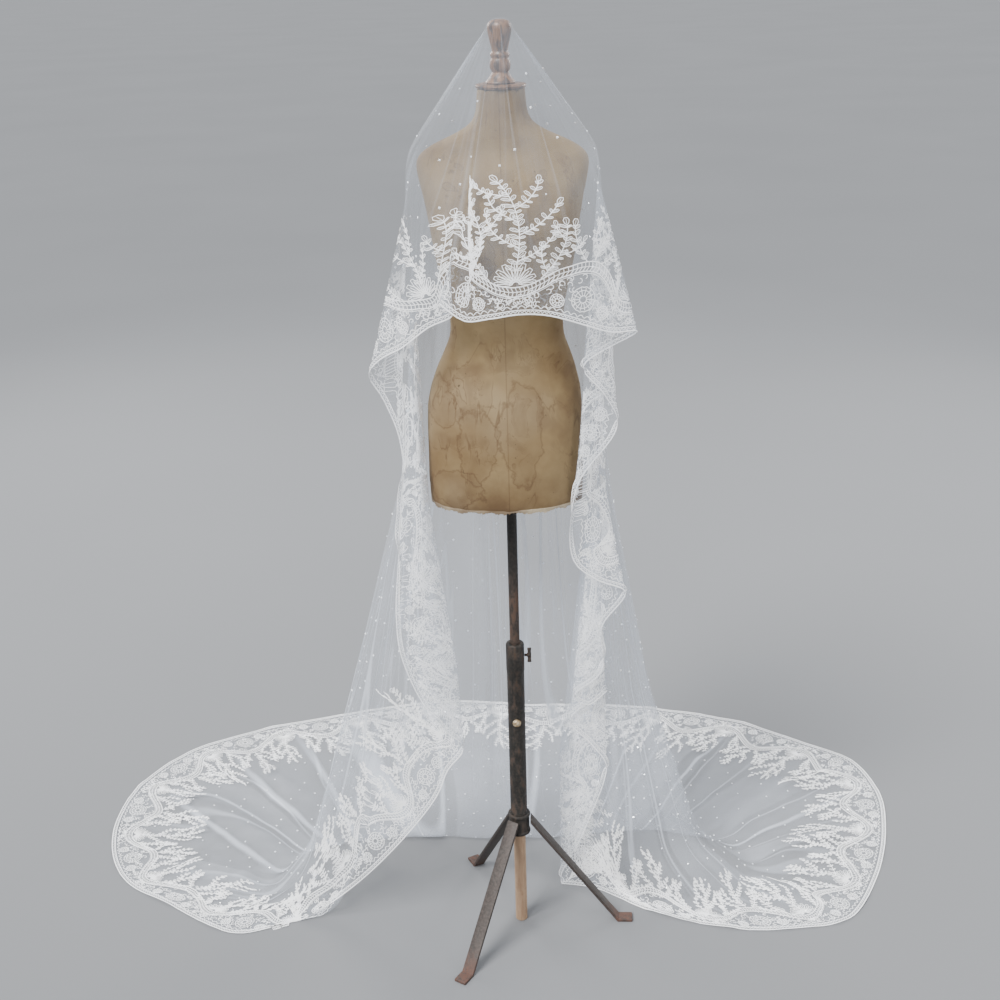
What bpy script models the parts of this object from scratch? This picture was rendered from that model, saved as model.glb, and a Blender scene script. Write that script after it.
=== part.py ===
"""Bridal veil draped over a dress form on an iron tripod stand.

The veil is one piece of fine net with an embroidered border. It hangs from the
wooden finial of a limbless canvas form: a short front fall to the chest, side
edges that drop in zigzag cascades, and a long train spread on the floor.

Units are metres, +Z is up. The origin is the foot of the stand's wooden dowel
on the floor, +X is the wearer's left, -Y is the front.
"""
import math
from collections import namedtuple

import bmesh
import bpy
import numpy as np

# Driving sizes of the whole
TOTAL_HEIGHT = 1.840
FLOOR_Z = 0.0
PIECE_GAP = 0.0003

# Cloth
NET_WALL = 0.0012
MITRE_MOST = 1.6
BORDER_RISE = 0.0008
BORDER_ROWS = (0.186, 0.176, 0.110, 0.050, 0.0)
CALM_SPACING = 0.085
CASCADE_SPACING = 0.045
MOST_COLUMNS_PER_GAP = 3
PATH_SAMPLES = 120
BEND_WIDTH = 0.050
SHOULDER_EASE = 0.007
PLEAT_DEPTH = 0.0080
PLEAT_SLOPE = 0.10
PLEAT_GROWTH = 0.40
PLEATS_COARSE = 17
PLEATS_FINE = 29
COARSE_SHARE = 0.6
COARSE_PHASE = 0.95
FINE_PHASE = 2.1
PLEAT_START = 0.06
PLEAT_FADE_HEIGHT = 0.30
CASCADE_PLEAT_SHARE = 0.12
BREAK_SHARE = 0.20
BREAK_MOST = 0.10
BEND_MOST_SHARE = 0.70
BEND_ROWS = (-0.028, 0.0, 0.028)
ABOVE_BEND = (0.0, 0.5)
FALL_ROWS = (0.12, 0.26, 0.42, 0.58, 0.74, 0.88, 1.0)
TRAIN_ROWS = (0.0, 0.34, 0.67, 1.0)

# Heights that the falling cloth passes
HIP_Z = 1.000
KNEE_Z = 0.500
SHIN_Z = 0.115
KNEE_REACH = 0.27
SHIN_REACH = 0.62

# The left panel stands further out on its way down
LEFT_FROM = 0.30
LEFT_OVER = 0.15
LEFT_KNEE_MORE = 0.14
LEFT_SHIN_MORE = 0.13

# Where the cloth meets the floor
FLOOR_MEETING = 0.060
RIDGE_END = 0.30

# Finial, neck and stand
CROWN_RADIUS = 0.0225
CROWN_Z = 1.8245
KNOB_TOP_Z = TOTAL_HEIGHT - NET_WALL - PIECE_GAP - 0.0002
NECK_DISC_RADIUS = 0.0435
NECK_TOP_Z = 1.729
FORM_BASE_Z = 0.988
POLE_RADIUS = 0.0097
SLEEVE_RADIUS = 0.0182
SLEEVE_BORE = 0.0103
SLEEVE_TOP_Z = 0.670
HUB_RADIUS = 0.0235
HUB_TOP_Z = 0.272
HUB_BASE_Z = 0.224
DOWEL_RADIUS = 0.0125
TRIPOD_RADIUS = 0.2385
FOOT_LENGTH = 0.030
LEG_WIDTH = 0.026
LEG_THICKNESS = 0.006
LEG_TOP_Z = 0.256
LEG_AZIMUTHS = {"leg_right": -3.3, "leg_rear": 116.7, "leg_front": 236.7}

# Canvas form: height, half width, how far its middle stands to +X of the pole,
# depth to the front, depth to the back. The left hip is the fuller one.
Section = namedtuple("Section", "z half_width shift front back")
FORM_SECTIONS = (
    Section(0.988, 0.1430, -0.0075, 0.092, 0.107),
    Section(0.994, 0.1455, -0.0080, 0.095, 0.110),
    Section(1.050, 0.1455, -0.0080, 0.101, 0.114),
    Section(1.117, 0.1450, -0.0080, 0.101, 0.116),
    Section(1.160, 0.1440, -0.0075, 0.096, 0.112),
    Section(1.196, 0.1400, -0.0065, 0.090, 0.105),
    Section(1.232, 0.1310, -0.0035, 0.083, 0.096),
    Section(1.270, 0.1170, -0.0010, 0.076, 0.085),
    Section(1.307, 0.0990, 0.0, 0.073, 0.077),
    Section(1.363, 0.1060, 0.0, 0.085, 0.079),
    Section(1.435, 0.1230, 0.0, 0.109, 0.084),
    Section(1.488, 0.1320, 0.0, 0.114, 0.088),
    Section(1.540, 0.1380, 0.0, 0.098, 0.090),
    Section(1.575, 0.1460, 0.0, 0.080, 0.086),
    Section(1.598, 0.1510, 0.0, 0.063, 0.078),
    Section(1.614, 0.1500, 0.0, 0.055, 0.070),
    Section(1.626, 0.1410, 0.0, 0.048, 0.063),
    Section(1.640, 0.1170, 0.0, 0.045, 0.057),
    Section(1.651, 0.0900, 0.0, 0.044, 0.053),
    Section(1.667, 0.0580, 0.0, 0.043, 0.049),
    Section(1.684, 0.0455, 0.0, 0.042, 0.045),
    Section(1.709, 0.0420, 0.0, 0.040, 0.042),
    Section(1.7285, 0.0415, 0.0, 0.040, 0.0415),
)
FORM_SIDES = 36
FORM_ROUNDNESS = 2.25

# Lines of the cloth that run down from the finial, one for each fold edge and
# each stretch between: where the line leaves the shoulder or bust, where it
# passes the hip height, a lower point, and its end on the veil's own edge.
# A lower point at floor height is where the train starts to lie.
Line = namedtuple("Line", "name shoulder hip low end")
LINES = (
    Line("front_mid", (0.010, -0.131, 1.470), None, None, (0.018, -0.146, 1.372)),
    Line("front_1", (0.055, -0.126, 1.475), None, None, (0.073, -0.140, 1.366)),
    Line("front_2", (0.098, -0.106, 1.500), None, None, (0.128, -0.126, 1.346)),
    Line("right_front", (0.132, -0.078, 1.545), None, None, (0.181, -0.102, 1.324)),
    Line("right_tip_1", (0.152, -0.050, 1.590), None, None, (0.228, -0.072, 1.316)),
    Line("right_turn_1", (0.1570, -0.037, 1.610), None, None, (0.131, -0.099, 1.263)),
    Line("right_flap_2", (0.1580, -0.030, 1.615), None, None, (0.168, -0.084, 1.208)),
    Line("right_tip_2", (0.1585, -0.023, 1.619), None, None, (0.195, -0.066, 1.140)),
    Line("right_turn_2", (0.1590, -0.015, 1.622), None, None, (0.121, -0.079, 1.030)),
    Line("right_low_3", (0.1594, -0.005, 1.625), (0.137, -0.063), None, (0.113, -0.060, 0.874)),
    Line("right_flap_3", (0.1595, 0.003, 1.626), (0.155, -0.050), None, (0.160, -0.051, 0.826)),
    Line("right_tip_3", (0.1595, 0.009, 1.626), (0.177, -0.030), None, (0.215, -0.040, 0.793)),
    Line("right_back_4", (0.1592, 0.015, 1.626), (0.168, -0.020), None, (0.170, -0.030, 0.714)),
    Line("right_side_4", (0.1588, 0.020, 1.625), (0.161, -0.011), None, (0.169, -0.024, 0.610)),
    Line("right_turn_4", (0.1582, 0.025, 1.624), (0.155, -0.001), None, (0.115, -0.018, 0.556)),
    Line("right_flap_5", (0.1575, 0.030, 1.623), (0.163, 0.006), None, (0.146, -0.002, 0.524)),
    Line("right_tip_5", (0.1565, 0.035, 1.622), (0.171, 0.013), None, (0.184, 0.007, 0.551)),
    Line("right_turn_5", (0.1552, 0.040, 1.620), (0.155, 0.024), None, (0.109, 0.022, 0.476)),
    Line("right_flap_6", (0.1535, 0.045, 1.618), (0.164, 0.032), None, (0.155, 0.038, 0.405)),
    Line("right_tip_6", (0.1515, 0.050, 1.615), (0.172, 0.040), None, (0.186, 0.048, 0.343)),
    Line("right_back_7", (0.1490, 0.054, 1.612), (0.164, 0.047), None, (0.141, 0.062, 0.175)),
    Line("right_turn_7", (0.1460, 0.058, 1.609), (0.156, 0.055), (0.088, 0.086, 0.340),
         (0.093, 0.108, 0.000)),
    Line("right_foot", (0.1425, 0.062, 1.606), (0.166, 0.061), (0.140, 0.120, 0.300),
         (0.158, 0.092, 0.000)),
    Line("right_sweep_1", (0.1390, 0.066, 1.600), (0.176, 0.067), (0.262, 0.042, 0.0),
         (0.300, -0.006, 0.000)),
    Line("right_sweep_2", (0.1350, 0.069, 1.595), (0.183, 0.075), (0.365, 0.022, 0.0),
         (0.462, -0.062, 0.000)),
    Line("right_sweep_3", (0.1305, 0.072, 1.590), (0.187, 0.084), (0.445, 0.034, 0.0),
         (0.589, -0.064, 0.000)),
    Line("right_sweep_4", (0.1255, 0.075, 1.585), (0.189, 0.093), (0.500, 0.064, 0.0),
         (0.702, -0.038, 0.000)),
    Line("right_sweep_5", (0.1195, 0.078, 1.580), (0.188, 0.104), (0.525, 0.110, 0.0),
         (0.795, 0.095, 0.000)),
    Line("right_sweep_6", (0.1125, 0.081, 1.575), (0.184, 0.116), (0.520, 0.160, 0.0),
         (0.864, 0.273, 0.000)),
    Line("right_sweep_7", (0.1040, 0.084, 1.570), (0.176, 0.127), (0.495, 0.207, 0.0),
         (0.889, 0.430, 0.000)),
    Line("right_sweep_8", (0.0935, 0.087, 1.565), (0.162, 0.137), (0.445, 0.246, 0.0),
         (0.856, 0.570, 0.000)),
    Line("back_1", (0.0805, 0.090, 1.560), (0.142, 0.146), (0.375, 0.272, 0.0),
         (0.743, 0.668, 0.000)),
    Line("back_2", (0.0660, 0.093, 1.555), (0.118, 0.152), (0.295, 0.284, 0.0),
         (0.600, 0.772, 0.000)),
    Line("back_3", (0.0490, 0.095, 1.550), (0.089, 0.156), (0.207, 0.280, 0.0),
         (0.420, 0.842, 0.000)),
    Line("back_4", (0.0300, 0.097, 1.548), (0.055, 0.158), (0.120, 0.270, 0.0),
         (0.225, 0.884, 0.000)),
    Line("back_5", (0.0080, 0.098, 1.547), (0.015, 0.159), (0.030, 0.266, 0.0),
         (0.040, 0.892, 0.000)),
    Line("back_6", (-0.0150, 0.098, 1.547), (-0.028, 0.159), (-0.068, 0.270, 0.0),
         (-0.140, 0.922, 0.000)),
    Line("back_7", (-0.0370, 0.096, 1.548), (-0.069, 0.157), (-0.170, 0.279, 0.0),
         (-0.330, 0.902, 0.000)),
    Line("back_8", (-0.0570, 0.094, 1.552), (-0.105, 0.153), (-0.275, 0.283, 0.0),
         (-0.510, 0.856, 0.000)),
    Line("back_9", (-0.0745, 0.091, 1.557), (-0.136, 0.147), (-0.375, 0.276, 0.0),
         (-0.690, 0.798, 0.000)),
    Line("left_sweep_8", (-0.0895, 0.088, 1.562), (-0.161, 0.138), (-0.455, 0.250, 0.0),
         (-0.858, 0.700, 0.000)),
    Line("left_sweep_7", (-0.1020, 0.084, 1.568), (-0.180, 0.126), (-0.512, 0.213, 0.0),
         (-0.952, 0.560, 0.000)),
    Line("left_sweep_6", (-0.1125, 0.080, 1.574), (-0.193, 0.113), (-0.542, 0.172, 0.0),
         (-0.978, 0.420, 0.000)),
    Line("left_sweep_5", (-0.1215, 0.075, 1.580), (-0.201, 0.099), (-0.553, 0.131, 0.0),
         (-0.956, 0.270, 0.000)),
    Line("left_sweep_4", (-0.1295, 0.069, 1.586), (-0.205, 0.085), (-0.549, 0.092, 0.0),
         (-0.895, 0.158, 0.000)),
    Line("left_sweep_3", (-0.1365, 0.063, 1.593), (-0.206, 0.071), (-0.528, 0.060, 0.0),
         (-0.778, 0.072, 0.000)),
    Line("left_sweep_2", (-0.1425, 0.056, 1.600), (-0.204, 0.057), (-0.485, 0.038, 0.0),
         (-0.616, -0.028, 0.000)),
    Line("left_sweep_1", (-0.1475, 0.048, 1.606), (-0.199, 0.043), (-0.418, 0.026, 0.0),
         (-0.483, 0.006, 0.000)),
    Line("left_rise_1", (-0.1515, 0.040, 1.611), (-0.190, 0.029), (-0.300, 0.010, 0.300),
         (-0.366, -0.004, 0.089)),
    Line("left_rise_2", (-0.1545, 0.032, 1.615), (-0.180, 0.016), (-0.218, 0.002, 0.480),
         (-0.253, -0.012, 0.209)),
    Line("left_rise_3", (-0.1568, 0.024, 1.619), (-0.170, 0.004), (-0.160, -0.010, 0.560),
         (-0.167, -0.020, 0.331)),
    Line("left_rise_4", (-0.1584, 0.015, 1.622), (-0.161, -0.012), (-0.135, -0.020, 0.600),
         (-0.142, -0.030, 0.398)),
    Line("left_fold", (-0.1593, 0.006, 1.624), (-0.153, -0.042), (-0.113, -0.042, 0.640),
         (-0.108, -0.044, 0.457)),
    Line("left_flap_6", (-0.1595, -0.002, 1.625), (-0.162, -0.057), (-0.138, -0.058, 0.700),
         (-0.144, -0.056, 0.507)),
    Line("left_flap_5", (-0.1593, -0.010, 1.624), (-0.173, -0.061), (-0.178, -0.064, 0.760),
         (-0.186, -0.058, 0.572)),
    Line("left_flap_4", (-0.1588, -0.018, 1.622), (-0.184, -0.058), None, (-0.223, -0.058, 0.680)),
    Line("left_flap_3", (-0.1576, -0.027, 1.619), (-0.193, -0.052), None, (-0.228, -0.054, 0.765)),
    Line("left_under", (-0.1552, -0.036, 1.612), None, (-0.192, -0.041, 1.340),
         (-0.201, -0.042, 1.105)),
    Line("left_under_tip", (-0.1523, -0.043, 1.605), None, None, (-0.228, -0.034, 1.192)),
    Line("left_tip", (-0.1490, -0.050, 1.597), None, None, (-0.250, -0.044, 1.240)),
    Line("left_front", (-0.1390, -0.065, 1.570), None, None, (-0.226, -0.074, 1.278)),
    Line("front_7", (-0.1220, -0.085, 1.530), None, None, (-0.180, -0.102, 1.309)),
    Line("front_6", (-0.1040, -0.099, 1.503), None, None, (-0.135, -0.112, 1.345)),
    Line("front_pleat_in", (-0.0900, -0.107, 1.492), None, None, (-0.092, -0.119, 1.367)),
    Line("front_pleat_out", (-0.0830, -0.114, 1.484), None, None, (-0.117, -0.136, 1.393)),
    Line("front_5", (-0.0660, -0.126, 1.476), None, None, (-0.073, -0.148, 1.363)),
    Line("front_4", (-0.0320, -0.131, 1.470), None, None, (-0.030, -0.149, 1.366)),
)

# Stretches of the veil between two of its lines; a long one that reaches the
# floor is parted there into the fall and the train.
Stretch = namedtuple("Stretch", "name first last floor")
STRETCHES = (
    Stretch("front", "front_7", "right_front", False),
    Stretch("right_upper", "right_front", "right_low_3", False),
    Stretch("right_middle", "right_low_3", "right_flap_5", False),
    Stretch("right_lower", "right_flap_5", "right_sweep_1", False),
    Stretch("right_turn", "right_sweep_1", "right_sweep_5", False),
    Stretch("right_fall", "right_sweep_5", "back_1", True),
    Stretch("back_right_fall", "back_1", "back_5", True),
    Stretch("back_left_fall", "back_5", "back_9", True),
    Stretch("left_fall", "back_9", "left_sweep_4", True),
    Stretch("left_turn", "left_sweep_4", "left_flap_6", False),
    Stretch("left_flap", "left_flap_6", "front_7", False),
)

# Broad soft ridges of the train: start, end, height and half width
Ridge = namedtuple("Ridge", "x0 y0 x1 y1 height half_width")
RIDGES = (
    Ridge(-0.84, 0.50, -0.52, 0.22, 0.026, 0.055),
    Ridge(-0.70, 0.62, -0.46, 0.38, 0.020, 0.050),
    Ridge(-0.80, 0.24, -0.58, 0.12, 0.016, 0.040),
    Ridge(-0.42, 0.72, -0.26, 0.36, 0.018, 0.048),
    Ridge(-0.12, 0.74, -0.06, 0.36, 0.014, 0.045),
    Ridge(0.16, 0.70, 0.10, 0.36, 0.015, 0.045),
    Ridge(0.50, 0.66, 0.34, 0.36, 0.020, 0.050),
    Ridge(0.72, 0.52, 0.48, 0.28, 0.024, 0.055),
    Ridge(0.78, 0.28, 0.54, 0.16, 0.018, 0.045),
    Ridge(0.62, 0.04, 0.50, 0.10, 0.012, 0.035),
)


def smooth_step(value):
    """Rises from 0 to 1 with no corner as value goes from 0 to 1."""
    value = np.clip(value, 0.0, 1.0)
    return value * value * (3.0 - 2.0 * value)


def spline_point(p0, p1, p2, p3, part):
    """Point of a centripetal curve between p1 and p2, for arrays of points."""
    def step(a, b):
        return np.maximum(np.sqrt(np.linalg.norm(b - a, axis=-1, keepdims=True)), 1e-4)
    t1 = step(p0, p1)
    t2 = t1 + step(p1, p2)
    t3 = t2 + step(p2, p3)
    t = t1 + (t2 - t1) * part
    a1 = (t1 - t) / t1 * p0 + t / t1 * p1
    a2 = (t2 - t) / (t2 - t1) * p1 + (t - t1) / (t2 - t1) * p2
    a3 = (t3 - t) / (t3 - t2) * p2 + (t - t2) / (t3 - t2) * p3
    b1 = (t2 - t) / t2 * a1 + t / t2 * a2
    b2 = (t3 - t) / (t3 - t1) * a2 + (t - t1) / (t3 - t1) * a3
    return (t2 - t) / (t2 - t1) * b1 + (t - t1) / (t2 - t1) * b2


def line_stations(line):
    """The points that one line of the cloth passes, from the finial to its end."""
    turn = math.atan2(line.shoulder[1], line.shoulder[0])
    stations = [(CROWN_RADIUS * math.cos(turn), CROWN_RADIUS * math.sin(turn), CROWN_Z)]
    stations.append((line.shoulder[0] + SHOULDER_EASE * math.cos(turn),
                     line.shoulder[1] + SHOULDER_EASE * math.sin(turn), line.shoulder[2]))
    if line.hip:
        stations.append((line.hip[0], line.hip[1], HIP_Z))
    if line.low:
        if line.low[2] <= FLOOR_Z:
            wide = float(smooth_step((-line.low[0] - LEFT_FROM) / LEFT_OVER))
            knee = KNEE_REACH + LEFT_KNEE_MORE * wide
            shin = SHIN_REACH + LEFT_SHIN_MORE * wide
            for height, reach in ((KNEE_Z, knee), (SHIN_Z, shin)):
                x = line.hip[0] + (line.low[0] - line.hip[0]) * reach
                y = line.hip[1] + (line.low[1] - line.hip[1]) * reach
                stations.append((x, y, height))
        stations.append(line.low)
    stations.append(line.end)
    return np.array(stations)


def line_path(line):
    """Evenly spaced points along one line, its length, and how far along it the
    shoulder and the floor are."""
    points = line_stations(line)
    steps = np.linalg.norm(np.diff(points, axis=0), axis=1)
    run = np.concatenate([[0.0], np.cumsum(steps)])
    reach = np.linspace(-BEND_WIDTH, run[-1] + BEND_WIDTH, PATH_SAMPLES * 4)
    first = (points[1] - points[0]) / steps[0]
    last = (points[-1] - points[-2]) / steps[-1]
    path = np.stack([np.interp(reach, run, points[:, k]) for k in range(3)], axis=-1)
    path += np.minimum(reach, 0.0)[:, None] * first
    path += np.maximum(reach - run[-1], 0.0)[:, None] * last
    spread = np.arange(-BEND_WIDTH, BEND_WIDTH + 1e-9, reach[1] - reach[0])
    weights = np.cos(spread / BEND_WIDTH * math.pi / 2) ** 2
    weights /= weights.sum()
    inside = (reach > -1e-9) & (reach < run[-1] + 1e-9)
    path = np.stack([np.convolve(path[:, k], weights, "same") for k in range(3)], axis=-1)
    path = path[inside]
    steps = np.linalg.norm(np.diff(path, axis=0), axis=1)
    along = np.concatenate([[0.0], np.cumsum(steps)])
    even = np.linspace(0.0, along[-1], PATH_SAMPLES)
    path = np.stack([np.interp(even, along, path[:, k]) for k in range(3)], axis=-1)
    path[0] = points[0]
    path[-1] = points[-1]
    bend_at = even[np.argmin(np.linalg.norm(path - points[1], axis=1))]
    floor_at = along[-1]
    if line.low and line.low[2] <= FLOOR_Z:
        floor_at = even[np.argmin(np.linalg.norm(path - np.array(line.low), axis=1))]
    return path, along[-1], bend_at, floor_at


def unit(vectors):
    """The same directions, one long."""
    return vectors / np.maximum(np.linalg.norm(vectors, axis=-1, keepdims=True), 1e-9)


def share_rows(start, stop, shares):
    """Distances from start to stop for each place, at the given shares."""
    return start[:, None] + (stop - start)[:, None] * np.array(shares)[None, :]


def grid_normals(grid):
    """Directions out of a grid of points that closes on itself round the finial,
    and how much further a fold's edge stands out for the wall to stay as thick."""
    after = unit(np.roll(grid, -1, axis=0) - grid)
    around = after + np.roll(after, 1, axis=0)
    mitre = 2.0 / np.maximum(np.linalg.norm(around, axis=-1), 2.0 / MITRE_MOST)
    steps = unit(np.diff(grid, axis=1))
    down = np.zeros_like(grid)
    down[:, :-1] += steps
    down[:, 1:] += steps
    return unit(np.cross(around, -down)), mitre


class Drape:
    """The whole veil as two grids of points, a column for each line or stretch
    between lines, a row for each distance down from the finial."""

    def __init__(self):
        made = [line_path(line) for line in LINES]
        self.paths = np.stack([m[0] for m in made])
        self.lengths = np.array([m[1] for m in made])
        seams = self.lengths - BORDER_ROWS[0]
        above_seam = seams - np.minimum(seams * BREAK_SHARE, BREAK_MOST)
        self.breaks = np.minimum([m[3] for m in made], above_seam)
        self.bends = np.minimum([m[2] for m in made], self.breaks * BEND_MOST_SHARE)
        self.index = {line.name: i for i, line in enumerate(LINES)}
        self.place_columns()
        self.place_rows()
        self.make_walls()

    def place_columns(self):
        """Shares the columns out, closer where the edge drops in a cascade."""
        nearest = np.roll(self.paths, -1, axis=0) - self.paths
        widest = np.linalg.norm(nearest, axis=-1).max(axis=1)
        calm = [line.name.startswith(("front", "back")) or "sweep" in line.name for line in LINES]
        quiet = np.array(calm) & np.roll(calm, -1)
        counts = np.where(quiet, widest / CALM_SPACING, np.maximum(widest / CASCADE_SPACING, 2))
        counts = np.clip(np.round(counts), 1, MOST_COLUMNS_PER_GAP).astype(int)
        self.first_column = np.concatenate([[0], np.cumsum(counts)])
        shares = {1: (0.0,), 2: (0.0, 0.5), 3: (0.0, 0.25, 0.75)}
        places = [i + share for i, count in enumerate(counts) for share in shares[count]]
        self.places = np.array(places)
        self.pleating = self.blend(np.where(calm, 1.0, CASCADE_PLEAT_SHARE))

    def place_rows(self):
        """Distances down each column: the fall, the train and the border."""
        length = self.blend(self.lengths)
        start = np.full(len(length), PIECE_GAP)
        bend = self.blend(self.bends)[:, None] + np.array(BEND_ROWS)[None, :]
        above = share_rows(start, bend[:, 0], ABOVE_BEND)
        break_at = self.blend(self.breaks)
        seam = length - BORDER_ROWS[0]
        fall = share_rows(bend[:, -1], break_at, FALL_ROWS)
        train = share_rows(break_at, seam, TRAIN_ROWS)[:, 1:]
        border = length[:, None] - np.array(BORDER_ROWS)[None, 1:]
        self.distances = np.hstack([above, bend, fall, train, border])
        self.break_row = len(ABOVE_BEND) + len(BEND_ROWS) + len(FALL_ROWS) - 1
        self.border_row = self.distances.shape[1] - border.shape[1]

    def blend(self, values):
        """A value given for each line, read at each column."""
        low = np.floor(self.places).astype(int)
        part = self.places - low
        return values[low] * (1 - part) + values[(low + 1) % len(LINES)] * part

    def smooth_points(self):
        """Points of the middle surface without pleats."""
        total = len(LINES)
        low = np.floor(self.places).astype(int)
        part = (self.places - low)[:, None, None]
        length = self.blend(self.lengths)[:, None]
        along = np.clip(self.distances / length, 0.0, 1.0) * (PATH_SAMPLES - 1)
        base = np.minimum(along.astype(int), PATH_SAMPLES - 2)
        rest = (along - base)[..., None]
        rows = np.arange(len(low))[:, None]
        four = []
        for k in (-1, 0, 1, 2):
            path = self.paths[(low + k) % total]
            four.append(path[rows, base] * (1 - rest) + path[rows, base + 1] * rest)
        return spline_point(*four, part)

    def pleat(self, grid):
        """How far each point stands out of the smooth surface."""
        gaps = np.linalg.norm(np.roll(grid, -1, axis=0) - grid, axis=-1)
        middle = gaps[:, self.break_row // 2]
        turn = np.concatenate([[0.0], np.cumsum(middle)])[:-1] / middle.sum()
        angle = (turn * 2 * math.pi)[:, None]
        wave = COARSE_SHARE * np.sin(PLEATS_COARSE * angle + COARSE_PHASE)
        wave += (1.0 - COARSE_SHARE) * np.sin(PLEATS_FINE * angle + FINE_PHASE)
        stretch = 0.5 * (gaps + np.roll(gaps, 1, axis=0)) / middle[:, None]
        depth = np.minimum(PLEAT_DEPTH, PLEAT_SLOPE * middle.sum() / PLEATS_FINE * stretch)
        grow = smooth_step((self.distances - PLEAT_START) / PLEAT_GROWTH)
        fade = smooth_step(grid[..., 2] / PLEAT_FADE_HEIGHT)
        return wave * depth * self.pleating[:, None] * grow * fade

    def ridge_height(self, points):
        """Height of the train's soft ridges at each point of the floor."""
        height = np.zeros(points.shape[:-1])
        for ridge in RIDGES:
            start = np.array([ridge.x0, ridge.y0])
            way = np.array([ridge.x1 - ridge.x0, ridge.y1 - ridge.y0])
            part = ((points[..., :2] - start) @ way) / (way @ way)
            inside = np.clip(part, 0.0, 1.0)
            nearest = start + inside[..., None] * way
            aside = np.linalg.norm(points[..., :2] - nearest, axis=-1)
            rise = smooth_step(inside / RIDGE_END) * smooth_step((1.0 - inside) / RIDGE_END)
            height += ridge.height * rise * np.exp(-(aside / ridge.half_width) ** 2)
        return height

    def make_walls(self):
        """The outer and inner points, the border raised on the outer side."""
        middle = self.smooth_points()
        middle += grid_normals(middle)[0] * self.pleat(middle)[..., None]
        on_floor = smooth_step((FLOOR_MEETING - middle[..., 2]) / FLOOR_MEETING)
        middle[..., 2] += self.ridge_height(middle) * on_floor
        middle[..., 2] = np.maximum(middle[..., 2], NET_WALL / 2)
        lies = on_floor[..., None]
        normals, mitre = grid_normals(middle)
        out = unit(normals * (1 - lies) + np.array([0.0, 0.0, 1.0]) * lies)
        out *= (mitre * (1 - on_floor) + on_floor)[..., None]
        raised = np.full(middle.shape, NET_WALL / 2)
        raised[:, self.border_row:] += BORDER_RISE
        self.outer = middle + out * raised
        self.inner = middle - out * NET_WALL / 2

    def stretch_columns(self, first, last):
        """Numbers of the columns from one line to another."""
        start = self.first_column[self.index[first]]
        stop = self.first_column[self.index[last]]
        total = len(self.places)
        if stop <= start:
            stop += total
        return np.arange(start, stop + 1) % total


def clear_scene():
    """Removes what a new Blender file holds."""
    for thing in list(bpy.data.objects):
        bpy.data.objects.remove(thing, do_unlink=True)


def new_collection(name):
    """A collection linked to the scene."""
    group = bpy.data.collections.new(name)
    bpy.context.scene.collection.children.link(group)
    return group


def new_material(name, colour, roughness, metallic=0.0):
    """A plain Principled material."""
    material = bpy.data.materials.new(name)
    material.use_nodes = True
    shader = material.node_tree.nodes["Principled BSDF"]
    shader.inputs["Base Color"].default_value = (*colour, 1.0)
    shader.inputs["Roughness"].default_value = roughness
    shader.inputs["Metallic"].default_value = metallic
    return material


def place_object(name, data, group, material, parent):
    """Adds an object with its material to the collection, under its parent."""
    item = bpy.data.objects.new(name, data)
    group.objects.link(item)
    data.materials.append(material)
    item.parent = parent
    return item


def take_primitive(name, group, material, parent):
    """Names the primitive that was just added and moves it to the collection."""
    item = bpy.context.object
    item.name = name
    item.data.name = name
    for old in list(item.users_collection):
        old.objects.unlink(item)
    group.objects.link(item)
    item.data.materials.append(material)
    item.parent = parent
    return item


def mesh_from(name, points, faces, smooth=True):
    """A mesh whose faces all point out."""
    mesh = bpy.data.meshes.new(name)
    mesh.from_pydata([tuple(p) for p in points], [], faces)
    shape = bmesh.new()
    shape.from_mesh(mesh)
    bmesh.ops.recalc_face_normals(shape, faces=shape.faces)
    shape.to_mesh(mesh)
    shape.free()
    if smooth:
        mesh.shade_smooth()
    return mesh


def grid_wall(name, outer, inner):
    """A closed wall between two grids of points of the same size."""
    columns, rows = outer.shape[:2]
    points = np.concatenate([outer.reshape(-1, 3), inner.reshape(-1, 3)])
    behind = columns * rows

    def at(i, j, side=0):
        return side * behind + i * rows + j

    falling = np.linalg.norm(outer[1:, 1:] - outer[:-1, :-1], axis=-1)
    rising = np.linalg.norm(outer[1:, :-1] - outer[:-1, 1:], axis=-1)
    faces = []
    for i in range(columns - 1):
        for j in range(rows - 1):
            corners = [(i, j), (i + 1, j), (i + 1, j + 1), (i, j + 1)]
            if falling[i, j] > rising[i, j]:
                corners = corners[1:] + corners[:1]
            for three in ((0, 1, 2), (0, 2, 3)):
                faces.append(tuple(at(*corners[k]) for k in three))
                faces.append(tuple(at(*corners[k], 1) for k in reversed(three)))
    for i in range(columns - 1):
        for j in (0, rows - 1):
            faces.append((at(i, j), at(i, j, 1), at(i + 1, j, 1)))
            faces.append((at(i, j), at(i + 1, j, 1), at(i + 1, j)))
    for j in range(rows - 1):
        for i in (0, columns - 1):
            faces.append((at(i, j), at(i, j + 1), at(i, j + 1, 1)))
            faces.append((at(i, j), at(i, j + 1, 1), at(i, j, 1)))
    return mesh_from(name, points, faces)


def part_edges(grid, sides, rows):
    """Draws chosen edges in by half the gap between pieces."""
    grid = grid.copy()
    if sides:
        for edge, beside in ((0, 1), (-1, -2)):
            grid[edge] += unit(grid[beside] - grid[edge]) * PIECE_GAP / 2
    for edge in rows:
        beside = 1 if edge == 0 else -2
        grid[:, edge] += unit(grid[:, beside] - grid[:, edge]) * PIECE_GAP / 2
    return grid


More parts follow.
